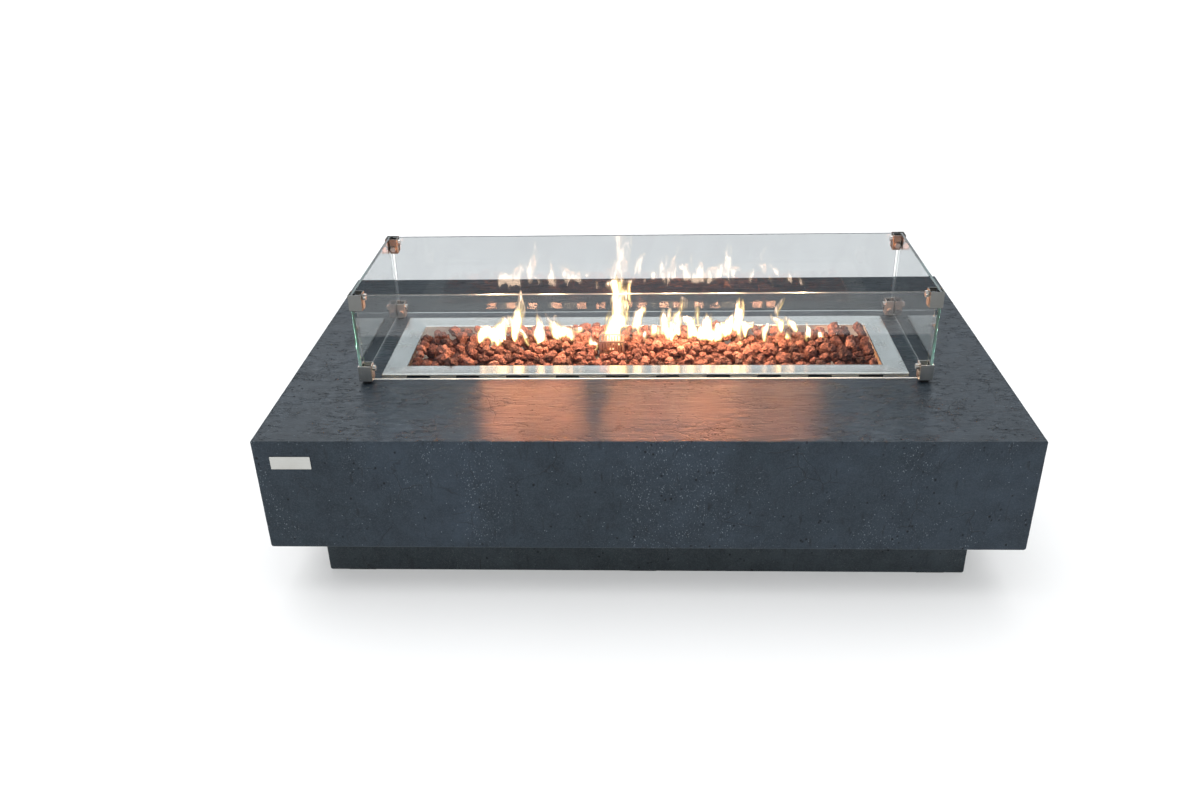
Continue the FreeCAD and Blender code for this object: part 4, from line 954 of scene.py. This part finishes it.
def make_rocks(mat):
    rocks, top = pack_rocks()
    fine, coarse = rock_shapes(12, 3, 21), rock_shapes(8, 2, 22)
    rnd = random.Random(5)
    upper = [r for r in rocks if r[2] + r[5] > 0.362]
    lower = [r for r in rocks if r[2] + r[5] <= 0.362]
    upper.sort(key=lambda r: r[0])
    groups, size = [], 145
    for k in range(0, len(upper), size):
        groups.append((upper[k:k + size], fine, "lava_rocks_%d" % (len(groups) + 1)))
    groups.append((lower, coarse, "lava_rocks_under"))
    made = []
    for rows, shapes, name in groups:
        vs, fs, tone, base = [], [], [], 0
        for x, y, z, a, b, c in rows:
            v, f = shapes[rnd.randrange(len(shapes))]
            ang = rnd.uniform(0, 2 * math.pi)
            tilt = Matrix.Rotation(rnd.uniform(-0.5, 0.5), 3, "X") @ Matrix.Rotation(rnd.uniform(-0.5, 0.5), 3, "Y")
            spin = np.array(Matrix.Rotation(rnd.uniform(0, 6.28), 3, Vector((rnd.gauss(0, 1), rnd.gauss(0, 1), rnd.gauss(0, 1))).normalized()))
            turn = np.array(Matrix.Rotation(ang, 3, "Z") @ tilt)
            w = (v @ spin.T) * np.array([a, b, c]) * 1.10
            w = w @ turn.T + np.array([x, y, z])
            w[:, 0] = np.clip(w[:, 0], -0.5155, 0.5155)
            w[:, 1] = np.clip(w[:, 1], -0.1060, 0.1060)
            vs.append(w)
            fs.append(f + base)
            base += len(v)
            tone.append(np.full(len(v), min(1.0, max(0.0, rnd.gauss(0.50, 0.18)))))
        if not vs:
            continue
        vs, fs, tone = np.vstack(vs), np.vstack(fs), np.concatenate(tone)
        o = new_object(name, vs, fs, [mat], smooth=True, sharp=34)
        at = o.data.attributes.new("tone", "FLOAT", "POINT")
        at.data.foreach_set("value", tone.astype(np.float32))
        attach(o, "root")
        made.append(o)
    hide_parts("lava_rock_bed")
    print("rocks", len(upper), len(lower), [len(o.data.polygons) for o in made])
    return made


# ---------------------------------------------------------------------------
# glass wind guard
# ---------------------------------------------------------------------------


def make_pane(node, mat):
    lo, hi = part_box(node)
    x0, y0, z0 = lo
    x1, y1, z1 = hi
    bm = bmesh.new()
    bmesh.ops.create_cube(bm, size=1.0)
    for v in bm.verts:
        v.co = Vector(((x0 + x1) / 2 + v.co.x * (x1 - x0), (y0 + y1) / 2 + v.co.y * (y1 - y0), (z0 + z1) / 2 + v.co.z * (z1 - z0)))
    bmesh.ops.bevel(bm, geom=bm.edges[:], offset=0.0006, segments=2, profile=0.5, affect="EDGES")
    bmesh.ops.recalc_face_normals(bm, faces=bm.faces)
    me = bpy.data.meshes.new(node + "_sheet")
    bm.to_mesh(me)
    bm.free()
    me.materials.append(mat)
    me.polygons.foreach_set("use_smooth", np.full(len(me.polygons), False))
    o = bpy.data.objects.new(node + "_sheet", me)
    SCENE.collection.objects.link(o)
    o.visible_shadow = False
    o.visible_diffuse = False
    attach(o, "glass_guard")
    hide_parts(node)
    return o


# ---------------------------------------------------------------------------
# flames: outlines of the tongues as seen from the front, (x, z) in mm on the
# plane over the burner. CORES are the bright bodies, WISPS the thin veils.
# ---------------------------------------------------------------------------
CORES = [
    [(-376, 399), (-373, 411), (-366, 418), (-352, 421), (-343, 414), (-335, 426), (-323, 437), (-310, 442), (-302, 436), (-303, 420), (-309, 405), (-312, 383), (-317, 375), (-321, 380), (-326, 375), (-332, 371), (-337, 380), (-341, 383), (-347, 367), (-349, 380), (-351, 389), (-358, 389), (-364, 383), (-371, 380), (-376, 386)],
    [(-275, 474), (-270, 465), (-268, 448), (-270, 429), (-274, 414), (-268, 407), (-263, 395), (-259, 383), (-257, 372), (-264, 376), (-269, 383), (-275, 398), (-282, 401), (-284, 390), (-291, 383), (-296, 390), (-299, 411), (-300, 428), (-295, 444), (-287, 459), (-280, 472)],
    [(-239, 461), (-233, 447), (-228, 429), (-224, 411), (-223, 383), (-228, 378), (-234, 380), (-238, 374), (-242, 382), (-246, 392), (-252, 403), (-248, 410), (-242, 419), (-243, 435), (-242, 451)],
    [(-218, 447), (-211, 438), (-198, 433), (-187, 425), (-170, 419), (-158, 415), (-154, 398), (-155, 387), (-163, 384), (-169, 389), (-177, 395), (-184, 393), (-192, 382), (-197, 385), (-205, 398), (-210, 414), (-215, 429)],
    [(-120, 397), (-115, 391), (-112, 382), (-102, 376), (-104, 367), (-109, 362), (-118, 365), (-123, 370), (-133, 368), (-131, 372), (-124, 375), (-127, 382), (-125, 391)],
    [(-54, 492), (-48, 477), (-45, 459), (-35, 446), (-31, 425), (-33, 406), (-38, 410), (-44, 416), (-48, 400), (-48, 379), (-55, 373), (-61, 379), (-67, 377), (-73, 382), (-81, 379), (-86, 396), (-89, 404), (-83, 427), (-76, 445), (-66, 453), (-61, 475), (-58, 487)],
    [(4, 466), (7, 458), (2, 440), (-3, 422), (-7, 398), (-12, 403), (-17, 413), (-21, 402), (-26, 413), (-27, 428), (-22, 443), (-17, 455), (-8, 463)],
    [(5, 408), (10, 398), (9, 385), (4, 381), (0, 388), (0, 399)],
    [(15, 412), (20, 423), (29, 420), (39, 423), (42, 403), (34, 397), (23, 393), (16, 402)],
    [(37, 428), (39, 444), (43, 456), (47, 460), (53, 444), (59, 431), (62, 403), (61, 379), (55, 384), (46, 397), (36, 398)],
    [(57, 428), (62, 431), (67, 444), (74, 456), (81, 463), (89, 459), (91, 443), (92, 427), (88, 418), (86, 402), (76, 397), (69, 387), (61, 379), (57, 397)],
    [(87, 443), (101, 442), (116, 440), (121, 418), (126, 412), (127, 388), (118, 393), (100, 390), (97, 418), (91, 424)],
    [(123, 418), (134, 412), (134, 427), (138, 439), (144, 445), (151, 445), (157, 437), (159, 421), (163, 409), (162, 390), (152, 384), (141, 385), (126, 388)],
    [(160, 418), (170, 429), (179, 431), (188, 436), (196, 443), (203, 447), (207, 427), (203, 408), (192, 397), (182, 389), (175, 383), (164, 382), (160, 390)],
    [(201, 445), (207, 466), (212, 484), (216, 490), (218, 472), (220, 461), (224, 472), (227, 445), (224, 430), (224, 405), (224, 384), (220, 384), (214, 395), (208, 407), (199, 412)],
    [(220, 427), (241, 430), (250, 428), (252, 416), (251, 404), (246, 411), (239, 413), (234, 395), (229, 394), (223, 405)],
    [(281, 423), (283, 411), (281, 398), (278, 386), (274, 382), (269, 390), (268, 402), (270, 413), (275, 417)],
    [(286, 448), (292, 438), (297, 440), (305, 439), (316, 434), (318, 423), (316, 411), (312, 405), (306, 407), (300, 417), (294, 429), (288, 438)],
    [(317, 440), (325, 437), (334, 431), (342, 423), (348, 413), (346, 404), (343, 402), (338, 409), (331, 414), (323, 420), (319, 429)],
    [(318, 398), (322, 406), (327, 407), (332, 397), (334, 383), (333, 374), (329, 377), (323, 386), (318, 391)],
    [(363, 416), (367, 425), (371, 419), (377, 412), (380, 396), (378, 386), (373, 392), (369, 384), (365, 395), (365, 408)],
    [(391, 398), (393, 407), (400, 401), (407, 391), (411, 382), (403, 383), (397, 389)],
]
CORES += [
    [(-63, 448), (-62, 478), (-63, 508), (-61, 530), (-57, 543), (-52, 545), (-48, 530), (-49, 505), (-47, 475), (-44, 450), (-54, 440)],
]
WISPS = [
    [(-272, 506), (-268, 487), (-264, 466), (-266, 442), (-272, 423), (-283, 436), (-294, 423), (-297, 429), (-290, 454), (-281, 478), (-276, 499)],
    [(-86, 517), (-80, 526), (-64, 532), (-52, 533), (-44, 535), (-36, 529), (-25, 531), (-16, 534), (-21, 521), (-25, 504), (-27, 471), (-29, 446), (-33, 422), (-43, 422), (-62, 434), (-71, 447), (-72, 471), (-70, 498), (-75, 510)],
    [(-45, 422), (-37, 428), (-31, 446), (-26, 422), (-30, 397), (-37, 391), (-44, 400)],
    [(-80, 457), (-74, 459), (-76, 434), (-85, 410), (-92, 394), (-87, 422)],
    [(-341, 411), (-336, 427), (-324, 441), (-308, 447), (-298, 442), (-298, 423), (-307, 398), (-310, 423), (-327, 423)],
    [(-220, 451), (-206, 442), (-197, 447), (-188, 435), (-168, 423), (-153, 418), (-136, 418), (-134, 410), (-148, 404), (-176, 410), (-204, 423)],
    [(54, 439), (56, 457), (63, 462), (66, 446), (63, 429), (58, 428)],
    [(78, 460), (83, 481), (87, 490), (100, 481), (98, 461), (93, 444), (87, 439), (81, 446)],
    [(116, 443), (117, 466), (126, 467), (129, 439), (133, 418), (136, 405), (127, 405), (121, 418)],
    [(136, 437), (142, 453), (148, 446), (154, 454), (158, 439), (151, 430), (140, 430)],
    [(216, 480), (221, 488), (227, 480), (227, 454), (222, 442), (217, 454)],
    [(294, 456), (301, 472), (314, 488), (311, 474), (306, 459), (304, 440), (300, 429), (296, 442)],
    [(301, 408), (308, 407), (306, 389), (304, 373), (300, 378), (302, 394)],
    [(331, 417), (341, 411), (349, 398), (347, 394), (339, 404)],
    [(160, 421), (167, 418), (170, 411), (168, 401), (163, 402), (160, 412)],
]
EYE = (5.73, -2130.85, 1363.38)
FLAME_Y = 6.0


def smooth_loop(pts, k=4):
    p = np.array(pts, float)
    n = len(p)
    out = []
    for i in range(n):
        a, b, c, d = p[i - 1], p[i], p[(i + 1) % n], p[(i + 2) % n]
        for j in range(k):
            u = j / k
            out.append(0.5 * ((2 * b) + (c - a) * u + (2 * a - 5 * b + 4 * c - d) * u * u + (3 * b - a - 3 * c + d) * u ** 3))
    return np.array(out)


def loop_field(field, xs, zs, pts, margin):
    """Signed distance to a closed outline, inside positive, joined into the field by its greatest value."""
    loop = smooth_loop(pts)
    i0, i1 = np.searchsorted(xs, (loop[:, 0].min() - margin, loop[:, 0].max() + margin))
    j0, j1 = np.searchsorted(zs, (loop[:, 1].min() - margin, loop[:, 1].max() + margin))
    gx, gz = np.meshgrid(xs[i0:i1], zs[j0:j1], indexing="ij")
    best = np.full(gx.shape, 1e9)
    inside = np.zeros(gx.shape, bool)
    nxt = np.roll(loop, -1, axis=0)
    for (ax, az), (bx, bz) in zip(loop, nxt):
        dx, dz = bx - ax, bz - az
        l2 = dx * dx + dz * dz + 1e-12
        t = np.clip(((gx - ax) * dx + (gz - az) * dz) / l2, 0, 1)
        best = np.minimum(best, np.hypot(gx - ax - t * dx, gz - az - t * dz))
        if az != bz:
            inside ^= ((az > gz) != (bz > gz)) & (gx < dx * (gz - az) / (bz - az) + ax)
    d = np.where(inside, best, -best)
    view = field[i0:i1, j0:j1]
    np.maximum(view, d, out=view)


def make_flames(mat):
    h = 1.5
    xs, zs = np.arange(-392, 424, h), np.arange(352, 582, h)
    core = np.full((len(xs), len(zs)), -50.0)
    wisp = core.copy()
    for pts in CORES:
        loop_field(core, xs, zs, pts, 9)
    for pts in WISPS:
        loop_field(wisp, xs, zs, pts, 7)
    rim_c, rim_w = 3.6, 2.6
    heat = np.clip((core + rim_c) / (rim_c + 7.4), 0, 1)
    heat = heat * (1 - 0.48 * np.clip((zs - 418) / 74, 0, 1))[None, :]          # thinner and yellower towards the tips
    heat = np.maximum(heat, np.clip((wisp + rim_w) / (rim_w + 6.0), 0, 1) * 0.52)
    # distance from the outer contour, for the contour itself and the thickness
    out = np.maximum(core + rim_c, wisp + rim_w)
    nx, nz = out.shape
    verts, key, edge_v, corner_v = [], [], {}, {}
    amount = []

    def put(x, z, q, e):
        verts.append((x, z, e))
        key.append(q)
        return len(verts) - 1

    def corner(i, j):
        if (i, j) not in corner_v:
            corner_v[i, j] = put(xs[i], zs[j], heat[i, j], out[i, j])
        return corner_v[i, j]

    def crossing(i, j, k, l):
        if (i, j, k, l) not in edge_v:
            a, b = out[i, j], out[k, l]
            t = a / (a - b)
            edge_v[i, j, k, l] = put(xs[i] + (xs[k] - xs[i]) * t, zs[j] + (zs[l] - zs[j]) * t, 0.0, 0.0)
        return edge_v[i, j, k, l]

    cells = []
    for i in range(nx - 1):
        for j in range(nz - 1):
            ring = [(i, j), (i + 1, j), (i + 1, j + 1), (i, j + 1)]
            on = [out[c] > 0 for c in ring]
            if not any(on):
                continue
            poly = []
            for k in range(4):
                c, d = ring[k], ring[(k + 1) % 4]
                if on[k]:
                    poly.append(corner(*c))
                if on[k] != on[(k + 1) % 4]:
                    lo_c, hi_c = min(c, d), max(c, d)
                    poly.append(crossing(*lo_c, *hi_c))
            if len(poly) >= 3:
                cells.append(poly)
    flat = np.array(verts)
    key = np.array(key)
    x, z, e = flat[:, 0], flat[:, 1], flat[:, 2]
    half = 7.5 * np.sqrt(np.clip(1 - (1 - np.minimum(1, e / 13.0)) ** 2, 0, 1))
    mid = np.array([FLAME_Y + 7.0 * noise.noise(Vector((u * 0.022, w * 0.012, 2.0))) + 3.0 * noise.noise(Vector((u * 0.06, w * 0.05, 9.0))) for u, w in zip(x, z)])
    edge_on = e <= 1e-9
    back_id = np.where(edge_on, np.arange(len(x)), -1)
    extra = np.where(~edge_on)[0]
    back_id[extra] = len(x) + np.arange(len(extra))

    def place(u, w, y):
        k = (y - EYE[1]) / (FLAME_Y - EYE[1])
        return np.stack([EYE[0] + (u - EYE[0]) * k, y, EYE[2] + (w - EYE[2]) * k], 1) * MM

    front = place(x, z, mid)
    front[:, 1] -= half * MM
    rear = place(x[extra], z[extra], mid[extra])
    rear[:, 1] += half[extra] * MM
    faces = [tuple(c) for c in cells] + [tuple(int(back_id[v]) for v in c[::-1]) for c in cells]
    o = new_object("flames", np.vstack([front, rear]), faces, [mat], smooth=True)
    at = o.data.attributes.new("burn", "FLOAT", "POINT")
    at.data.foreach_set("value", np.concatenate([key, key[extra]]).astype(np.float32))
    at = o.data.attributes.new("front", "FLOAT", "POINT")
    at.data.foreach_set("value", np.concatenate([np.where(edge_on, 0.5, 1.0), np.zeros(len(extra))]).astype(np.float32))
    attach(o, "root")
    o.visible_shadow = False
    print("flames", len(faces))
    return o


# ---------------------------------------------------------------------------
# build
# ---------------------------------------------------------------------------
M_SLAB = concrete("slab_concrete", 0.54, 0.31, waves=2.5, lime=0.66, aniso=0.9)
M_PLINTH = concrete("plinth_concrete", 0.64, 0.55, lime=0.25, tint=(0.96, 0.86, 0.74))
M_RIM_X = brushed("rim_steel_x", "x", (0.72, 0.72, 0.70), 0.21, aniso=0.9)
M_RIM_Y = brushed("rim_steel_y", "y", (0.68, 0.68, 0.66), 0.24, aniso=0.9)
M_PAN_IN = brushed("pan_steel_in", "x", (0.70, 0.70, 0.68), 0.50, heat=0.05, stains=0.30)
M_LIP = brushed("lip_steel", "x", (0.66, 0.66, 0.64), 0.58, aniso=0.0)
# painted shade: the upper brackets' steel is painted far darker than the same steel of the lower brackets
M_BRACKET_SHADED = brushed("bracket_steel", "z", (0.205, 0.208, 0.20), 0.42, scale=1.2)
M_BRACKET_LOW = brushed("bracket_steel_low", "z", (0.56, 0.565, 0.55), 0.42, scale=1.2)
M_SCREW = brushed("screw_steel", "x", (0.60, 0.59, 0.57), 0.28, scale=1.6)
M_PILOT = brushed("pilot_steel", "z", (0.48, 0.40, 0.35), 0.44, heat=0.45)
M_BURNER = brushed("burner_steel", "x", (0.52, 0.50, 0.47), 0.36, heat=0.65, stains=0.6)
M_PANEL = brushed("panel_steel", "y", (0.58, 0.58, 0.57), 0.28)
M_BADGE = brushed("plate_metal", "x", (0.52, 0.52, 0.495), 0.36, scale=1.5)
M_ZINC = plated("zinc_plate", (0.56, 0.56, 0.54), 0.38, (1.0, 0.92, 0.66), 0.55, 45)
M_BRASS = plated("brass", (0.62, 0.44, 0.18), 0.32, (0.55, 0.50, 0.45), 0.5, 50)
M_VALVE = plated("cast_valve", (0.46, 0.46, 0.45), 0.46, (0.80, 0.80, 0.82), 0.4, 70)
M_SPRING = plated("spring_wire", (0.50, 0.50, 0.49), 0.30, (0.7, 0.6, 0.5), 0.3, 120)
M_COPPER = plated("copper_lead", (0.60, 0.30, 0.17), 0.34, (0.45, 0.42, 0.40), 0.5, 60)
M_HOSE = moulded("hose_rubber", (0.020, 0.020, 0.021), 0.55, 900)
M_FOOT = moulded("foot_rubber", (0.013, 0.013, 0.014), 0.62, 1100)
M_LINER = moulded("liner_rubber", (0.022, 0.022, 0.022), 0.60, 1200)
M_SLEEVE = moulded("lead_sleeve", (0.38, 0.03, 0.02), 0.48, 1100)
M_CERAMIC = moulded("ceramic", (0.72, 0.69, 0.63), 0.34, 500, 1.08, 0.2)
M_KNOB = moulded("knob_black", (0.016, 0.016, 0.017), 0.42, 1700)
M_BUTTON = moulded("button_black", (0.020, 0.020, 0.021), 0.38, 1700)
M_BATTERY = moulded("battery_skin", (0.05, 0.12, 0.25), 0.35, 600)
M_BOARD = board_mat()
M_LAVA = lava()
M_GLASS = glass("clear_sheet", (0.860, 0.868, 0.868), crown=True)
M_SMOKED = glass("smoked_sheet", (0.600, 0.616, 0.630))
M_ENDS = glass("smoked_ends", (0.600, 0.616, 0.630), True)

make_slab(M_SLAB)
make_plinth(M_PLINTH)
make_pan(M_RIM_X, M_RIM_Y, M_PAN_IN, M_LIP)
make_rocks(M_LAVA)
for pane in ("glass_front", "glass_back", "glass_left", "glass_right"):
    make_pane(pane, {"glass_front": M_GLASS, "glass_back": M_SMOKED}.get(pane, M_ENDS))

refine("guard_lower_brackets", M_BRACKET_LOW, 0.00045)
refine("guard_upper_brackets", M_BRACKET_SHADED, 0.00045)
refine("guard_clamp_screws", M_SCREW, 0.0003)
refine("guard_feet", M_FOOT, 0.0006)
refine("guard_clamp_pads", M_FOOT, 0.0002)
refine("guard_liners", M_LINER, 0.0001)
refine("pilot_guard", M_PILOT, 0.00018)
refine("badge_plate", M_BADGE, 0.0002)
refine("control_panel", M_PANEL, 0.00035)
refine("panel_screws", M_SCREW, 0.00015)
refine("valve_nut", M_BRASS, 0.0003)
refine("control_knob", M_KNOB, 0.0004)
refine("igniter_button", M_BUTTON, 0.0003)
refine("igniter_housing", M_BUTTON, 0.0003)
# the two return springs, as refined pieces with their own meshes
for node, joint, travel in (("valve_spring", "knob_push", 0.005), ("igniter_spring", "igniter_push", 0.004)):
    coil = refine(node, M_SPRING, 0.0)
    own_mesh(coil)

for node, mat in {
    "underside_board": M_BOARD, "floor_pads": M_FOOT, "shell_angles": M_ZINC, "shell_angle_bolts": M_ZINC, "plinth_angles": M_ZINC,
    "plinth_angle_bolts": M_ZINC, "burner_tube": M_BURNER, "burner_saddles": M_BURNER, "feed_lock_nut": M_BRASS, "air_mixer": M_BRASS,
    "feed_elbow": M_BRASS, "heat_shield": M_ZINC, "shield_standoffs": M_ZINC, "shield_screws": M_ZINC, "pilot_bracket": M_PILOT,
    "pilot_hood": M_PILOT, "electrode_insulator": M_CERAMIC, "electrode_pin": M_SPRING, "thermocouple_probe": M_COPPER,
    "gas_valve": M_VALVE, "valve_plunger": M_BRASS, "valve_stem": M_BRASS,
    "igniter_nut": M_BUTTON, "igniter_battery": M_BATTERY,
    "gas_inlet": M_BRASS, "inlet_nut": M_BRASS, "inlet_elbow": M_BRASS, "gas_hose": M_HOSE, "hose_clips": M_ZINC,
    "burner_connector": M_BURNER, "pilot_tube": M_COPPER, "thermocouple_lead": M_COPPER, "igniter_lead": M_SLEEVE,
}.items():
    paint(node, mat)

make_flames(flame())

# ---------------------------------------------------------------------------
# floor, world and lights
# ---------------------------------------------------------------------------


def floor_and_light():
    me = bpy.data.meshes.new("floor")
    s = 14.0
    me.from_pydata([(-s, -s, 0), (s, -s, 0), (s, s, 0), (-s, s, 0)], [], [(0, 1, 2, 3)])
    o = bpy.data.objects.new("floor", me)
    SCENE.collection.objects.link(o)
    m = Mat("floor")
    n = m.noise(m.coords(), 2.0, 3)
    m.principled(m.mix(n, (0.81, 0.81, 0.81), (0.84, 0.84, 0.84)), 0.9)
    me.materials.append(m.m)

    w = bpy.data.worlds.new("world")
    SCENE.world = w
    w.use_nodes = True
    bg = w.node_tree.nodes["Background"]
    bg.inputs["Color"].default_value = (0.95, 0.98, 1.0, 1)
    bg.inputs["Strength"].default_value = 0.55

    def lamp(kind, name, loc, look, power, color=(1, 1, 1), **more):
        d = bpy.data.lights.new(name, kind)
        d.energy = power
        d.color = color
        for k, v in more.items():
            setattr(d, k, v)
        a = bpy.data.objects.new(name, d)
        SCENE.collection.objects.link(a)
        a.location = loc
        a.rotation_euler = (Vector(look) - Vector(loc)).to_track_quat("-Z", "Y").to_euler()
        return a

    def only(light, *names):
        """This light falls only on the pieces whose names start with one of these."""
        c = bpy.data.collections.new(light.name + "_on")
        for o in SCENE.objects:
            if o.type == "MESH" and o.name.startswith(names):
                c.objects.link(o)
        light.light_linking.receiver_collection = c

    lamp("SUN", "soft_sky", (-0.4, 0.6, 3.0), (0, 0, 0), 1.75, angle=math.radians(75))
    a = lamp("AREA", "soft_back", (0.0, 3.2, 2.4), (0, 0, 0.37), 24, (0.87, 0.94, 1.0), shape="RECTANGLE", size=5.0, size_y=1.6)
    only(a, *[o.name for o in SCENE.objects if o.type == "MESH" and o.name != "floor"])
    a = lamp("SUN", "floor_fill", (0, 0, 3.0), (0, 0, 0), 1.20, use_shadow=False)
    only(a, "floor")
    # light of the fire on the rocks, and its glow on metal and concrete
    for x, p in ((-330, 1.55), (-200, 2.1), (-60, 2.4), (90, 2.7), (220, 2.6), (345, 1.1)):
        a = lamp("POINT", "fire_%d" % x, (x * MM, 0.0, 0.44), (0, 0, 0), p, (1.0, 0.60, 0.32), shadow_soft_size=0.035)
        only(a, "lava_rocks")
    for x, w, p in ((-270, 0.20, 0.9), (20, 0.38, 4.2), (280, 0.18, 0.7)):
        a = lamp("AREA", "over_%d" % x, (x * MM, -0.02, 0.53), (x * MM, -0.03, 0.0), p, (1.0, 0.50, 0.30), shape="RECTANGLE", size=w, size_y=0.16)
        only(a, "lava_rocks")
    for x, w, p in ((-300, 0.150, 1.50), (-185, 0.085, 0.88), (-40, 0.110, 0.76), (62, 0.100, 0.76), (165, 0.115, 1.06), (315, 0.180, 0.88)):
        a = lamp("AREA", "glow_%d" % x, (x * MM, 0.0, 0.575), (x * MM, -1.0, 0.575), p, (1.0, 0.29, 0.085), shape="RECTANGLE", size=w, size_y=0.29)
        a.data.cycles.use_multiple_importance_sampling = False
        a.visible_diffuse = False
        only(a, "slab_cast")
        # its top along the ground edge of the near pane
        a = lamp("POINT", "edge_%d" % x, (x * 1.14 * MM, 0.10, 0.69), (0, 0, 0), 46.0 * w, (1.0, 0.70, 0.42), shadow_soft_size=0.0)
        only(a, "glass_front")
    # light that the burning gas spreads into the gaps between the stones
    a = lamp("AREA", "haze", (-0.02, -0.06, 0.75), (-0.02, 0.0, 0.38), 1.7, (1.0, 0.47, 0.30), shape="RECTANGLE", size=0.62, size_y=0.10, use_shadow=False)
    only(a, "lava_rocks")
    # the small pilot flame inside its guard
    a = lamp("POINT", "pilot_in", (-0.069, -0.026, 0.393), (0, 0, 0), 0.22, (1.0, 0.50, 0.30), shadow_soft_size=0.006)
    only(a, "pilot_guard", "lava_rocks")
    a = lamp("POINT", "pilot_front", (-0.069, -0.15, 0.46), (0, 0, 0), 1.7, (1.0, 0.50, 0.34), shadow_soft_size=0.03, use_shadow=False)
    only(a, "pilot_guard")
    # the rear of the same fire, mirrored by the far side of the rim
    for x in (-392, -341, -287, -222, -158, -109, -39, -3, 54, 90, 144, 185, 249, 293, 327):
        a = lamp("AREA", "rear_%d" % x, (x * MM, 0.02, 0.425), (x * MM, 1.0, 0.30), 0.105, (1.0, 0.42, 0.22), shape="RECTANGLE", size=0.022, size_y=0.055)
        only(a, "burner_pan")
    # daylight that runs along inside the two end panes and leaves at their ground front edges
    for x in (-0.66, 0.66):
        a = lamp("POINT", "through_%d" % (x * 100), (x, 1.2, 0.08), (0, 0, 0), 1.9, (0.50, 1.0, 0.74), shadow_soft_size=0.0, use_shadow=False)
        only(a, "glass_left", "glass_right")
    # fire light low in the pan, on its two end walls and the back one
    for x, side in ((-0.40, -1), (0.40, 1)):
        a = lamp("AREA", "wall_%d" % side, (x, -0.02, 0.350), (x + side, -0.02, 0.350), 0.06 if side < 0 else 0.30, (1.0, 0.42, 0.18), shape="RECTANGLE", size=0.20, size_y=0.03, use_shadow=False)
        only(a, "burner_pan")
    a = lamp("AREA", "wall_back", (0.0, -0.02, 0.345), (0.0, 1.0, 0.345), 1.0, (1.0, 0.94, 0.88), shape="RECTANGLE", size=1.0, size_y=0.03, use_shadow=False)
    only(a, "burner_pan")
    for x in (-300, 0, 300):
        a = lamp("POINT", "ember_%d" % x, (x * MM, 0.0, 0.45), (0, 0, 0), 4.5, (1.0, 0.38, 0.16), shadow_soft_size=0.06)
        only(a, "guard_upper", "guard_lower", "guard_clamp_screws")
    for x in (-1, 1):
        a = lamp("AREA", "far_ember_%d" % x, (x * 0.46, 0.02, 0.53), (x * 0.59, 0.17, 0.56), 0.62, (1.0, 0.28, 0.09), shape="RECTANGLE", size=0.12, size_y=0.10)
        only(a, "guard_upper", "guard_lower", "guard_clamp_screws")


floor_and_light()
SCENE.view_settings.view_transform = "Standard"
SCENE.cycles.transparent_max_bounces = 32
SCENE.cycles.max_bounces = 40
SCENE.cycles.transmission_bounces = 40
SCENE.cycles.glossy_bounces = 8
SCENE.cycles.diffuse_bounces = 4
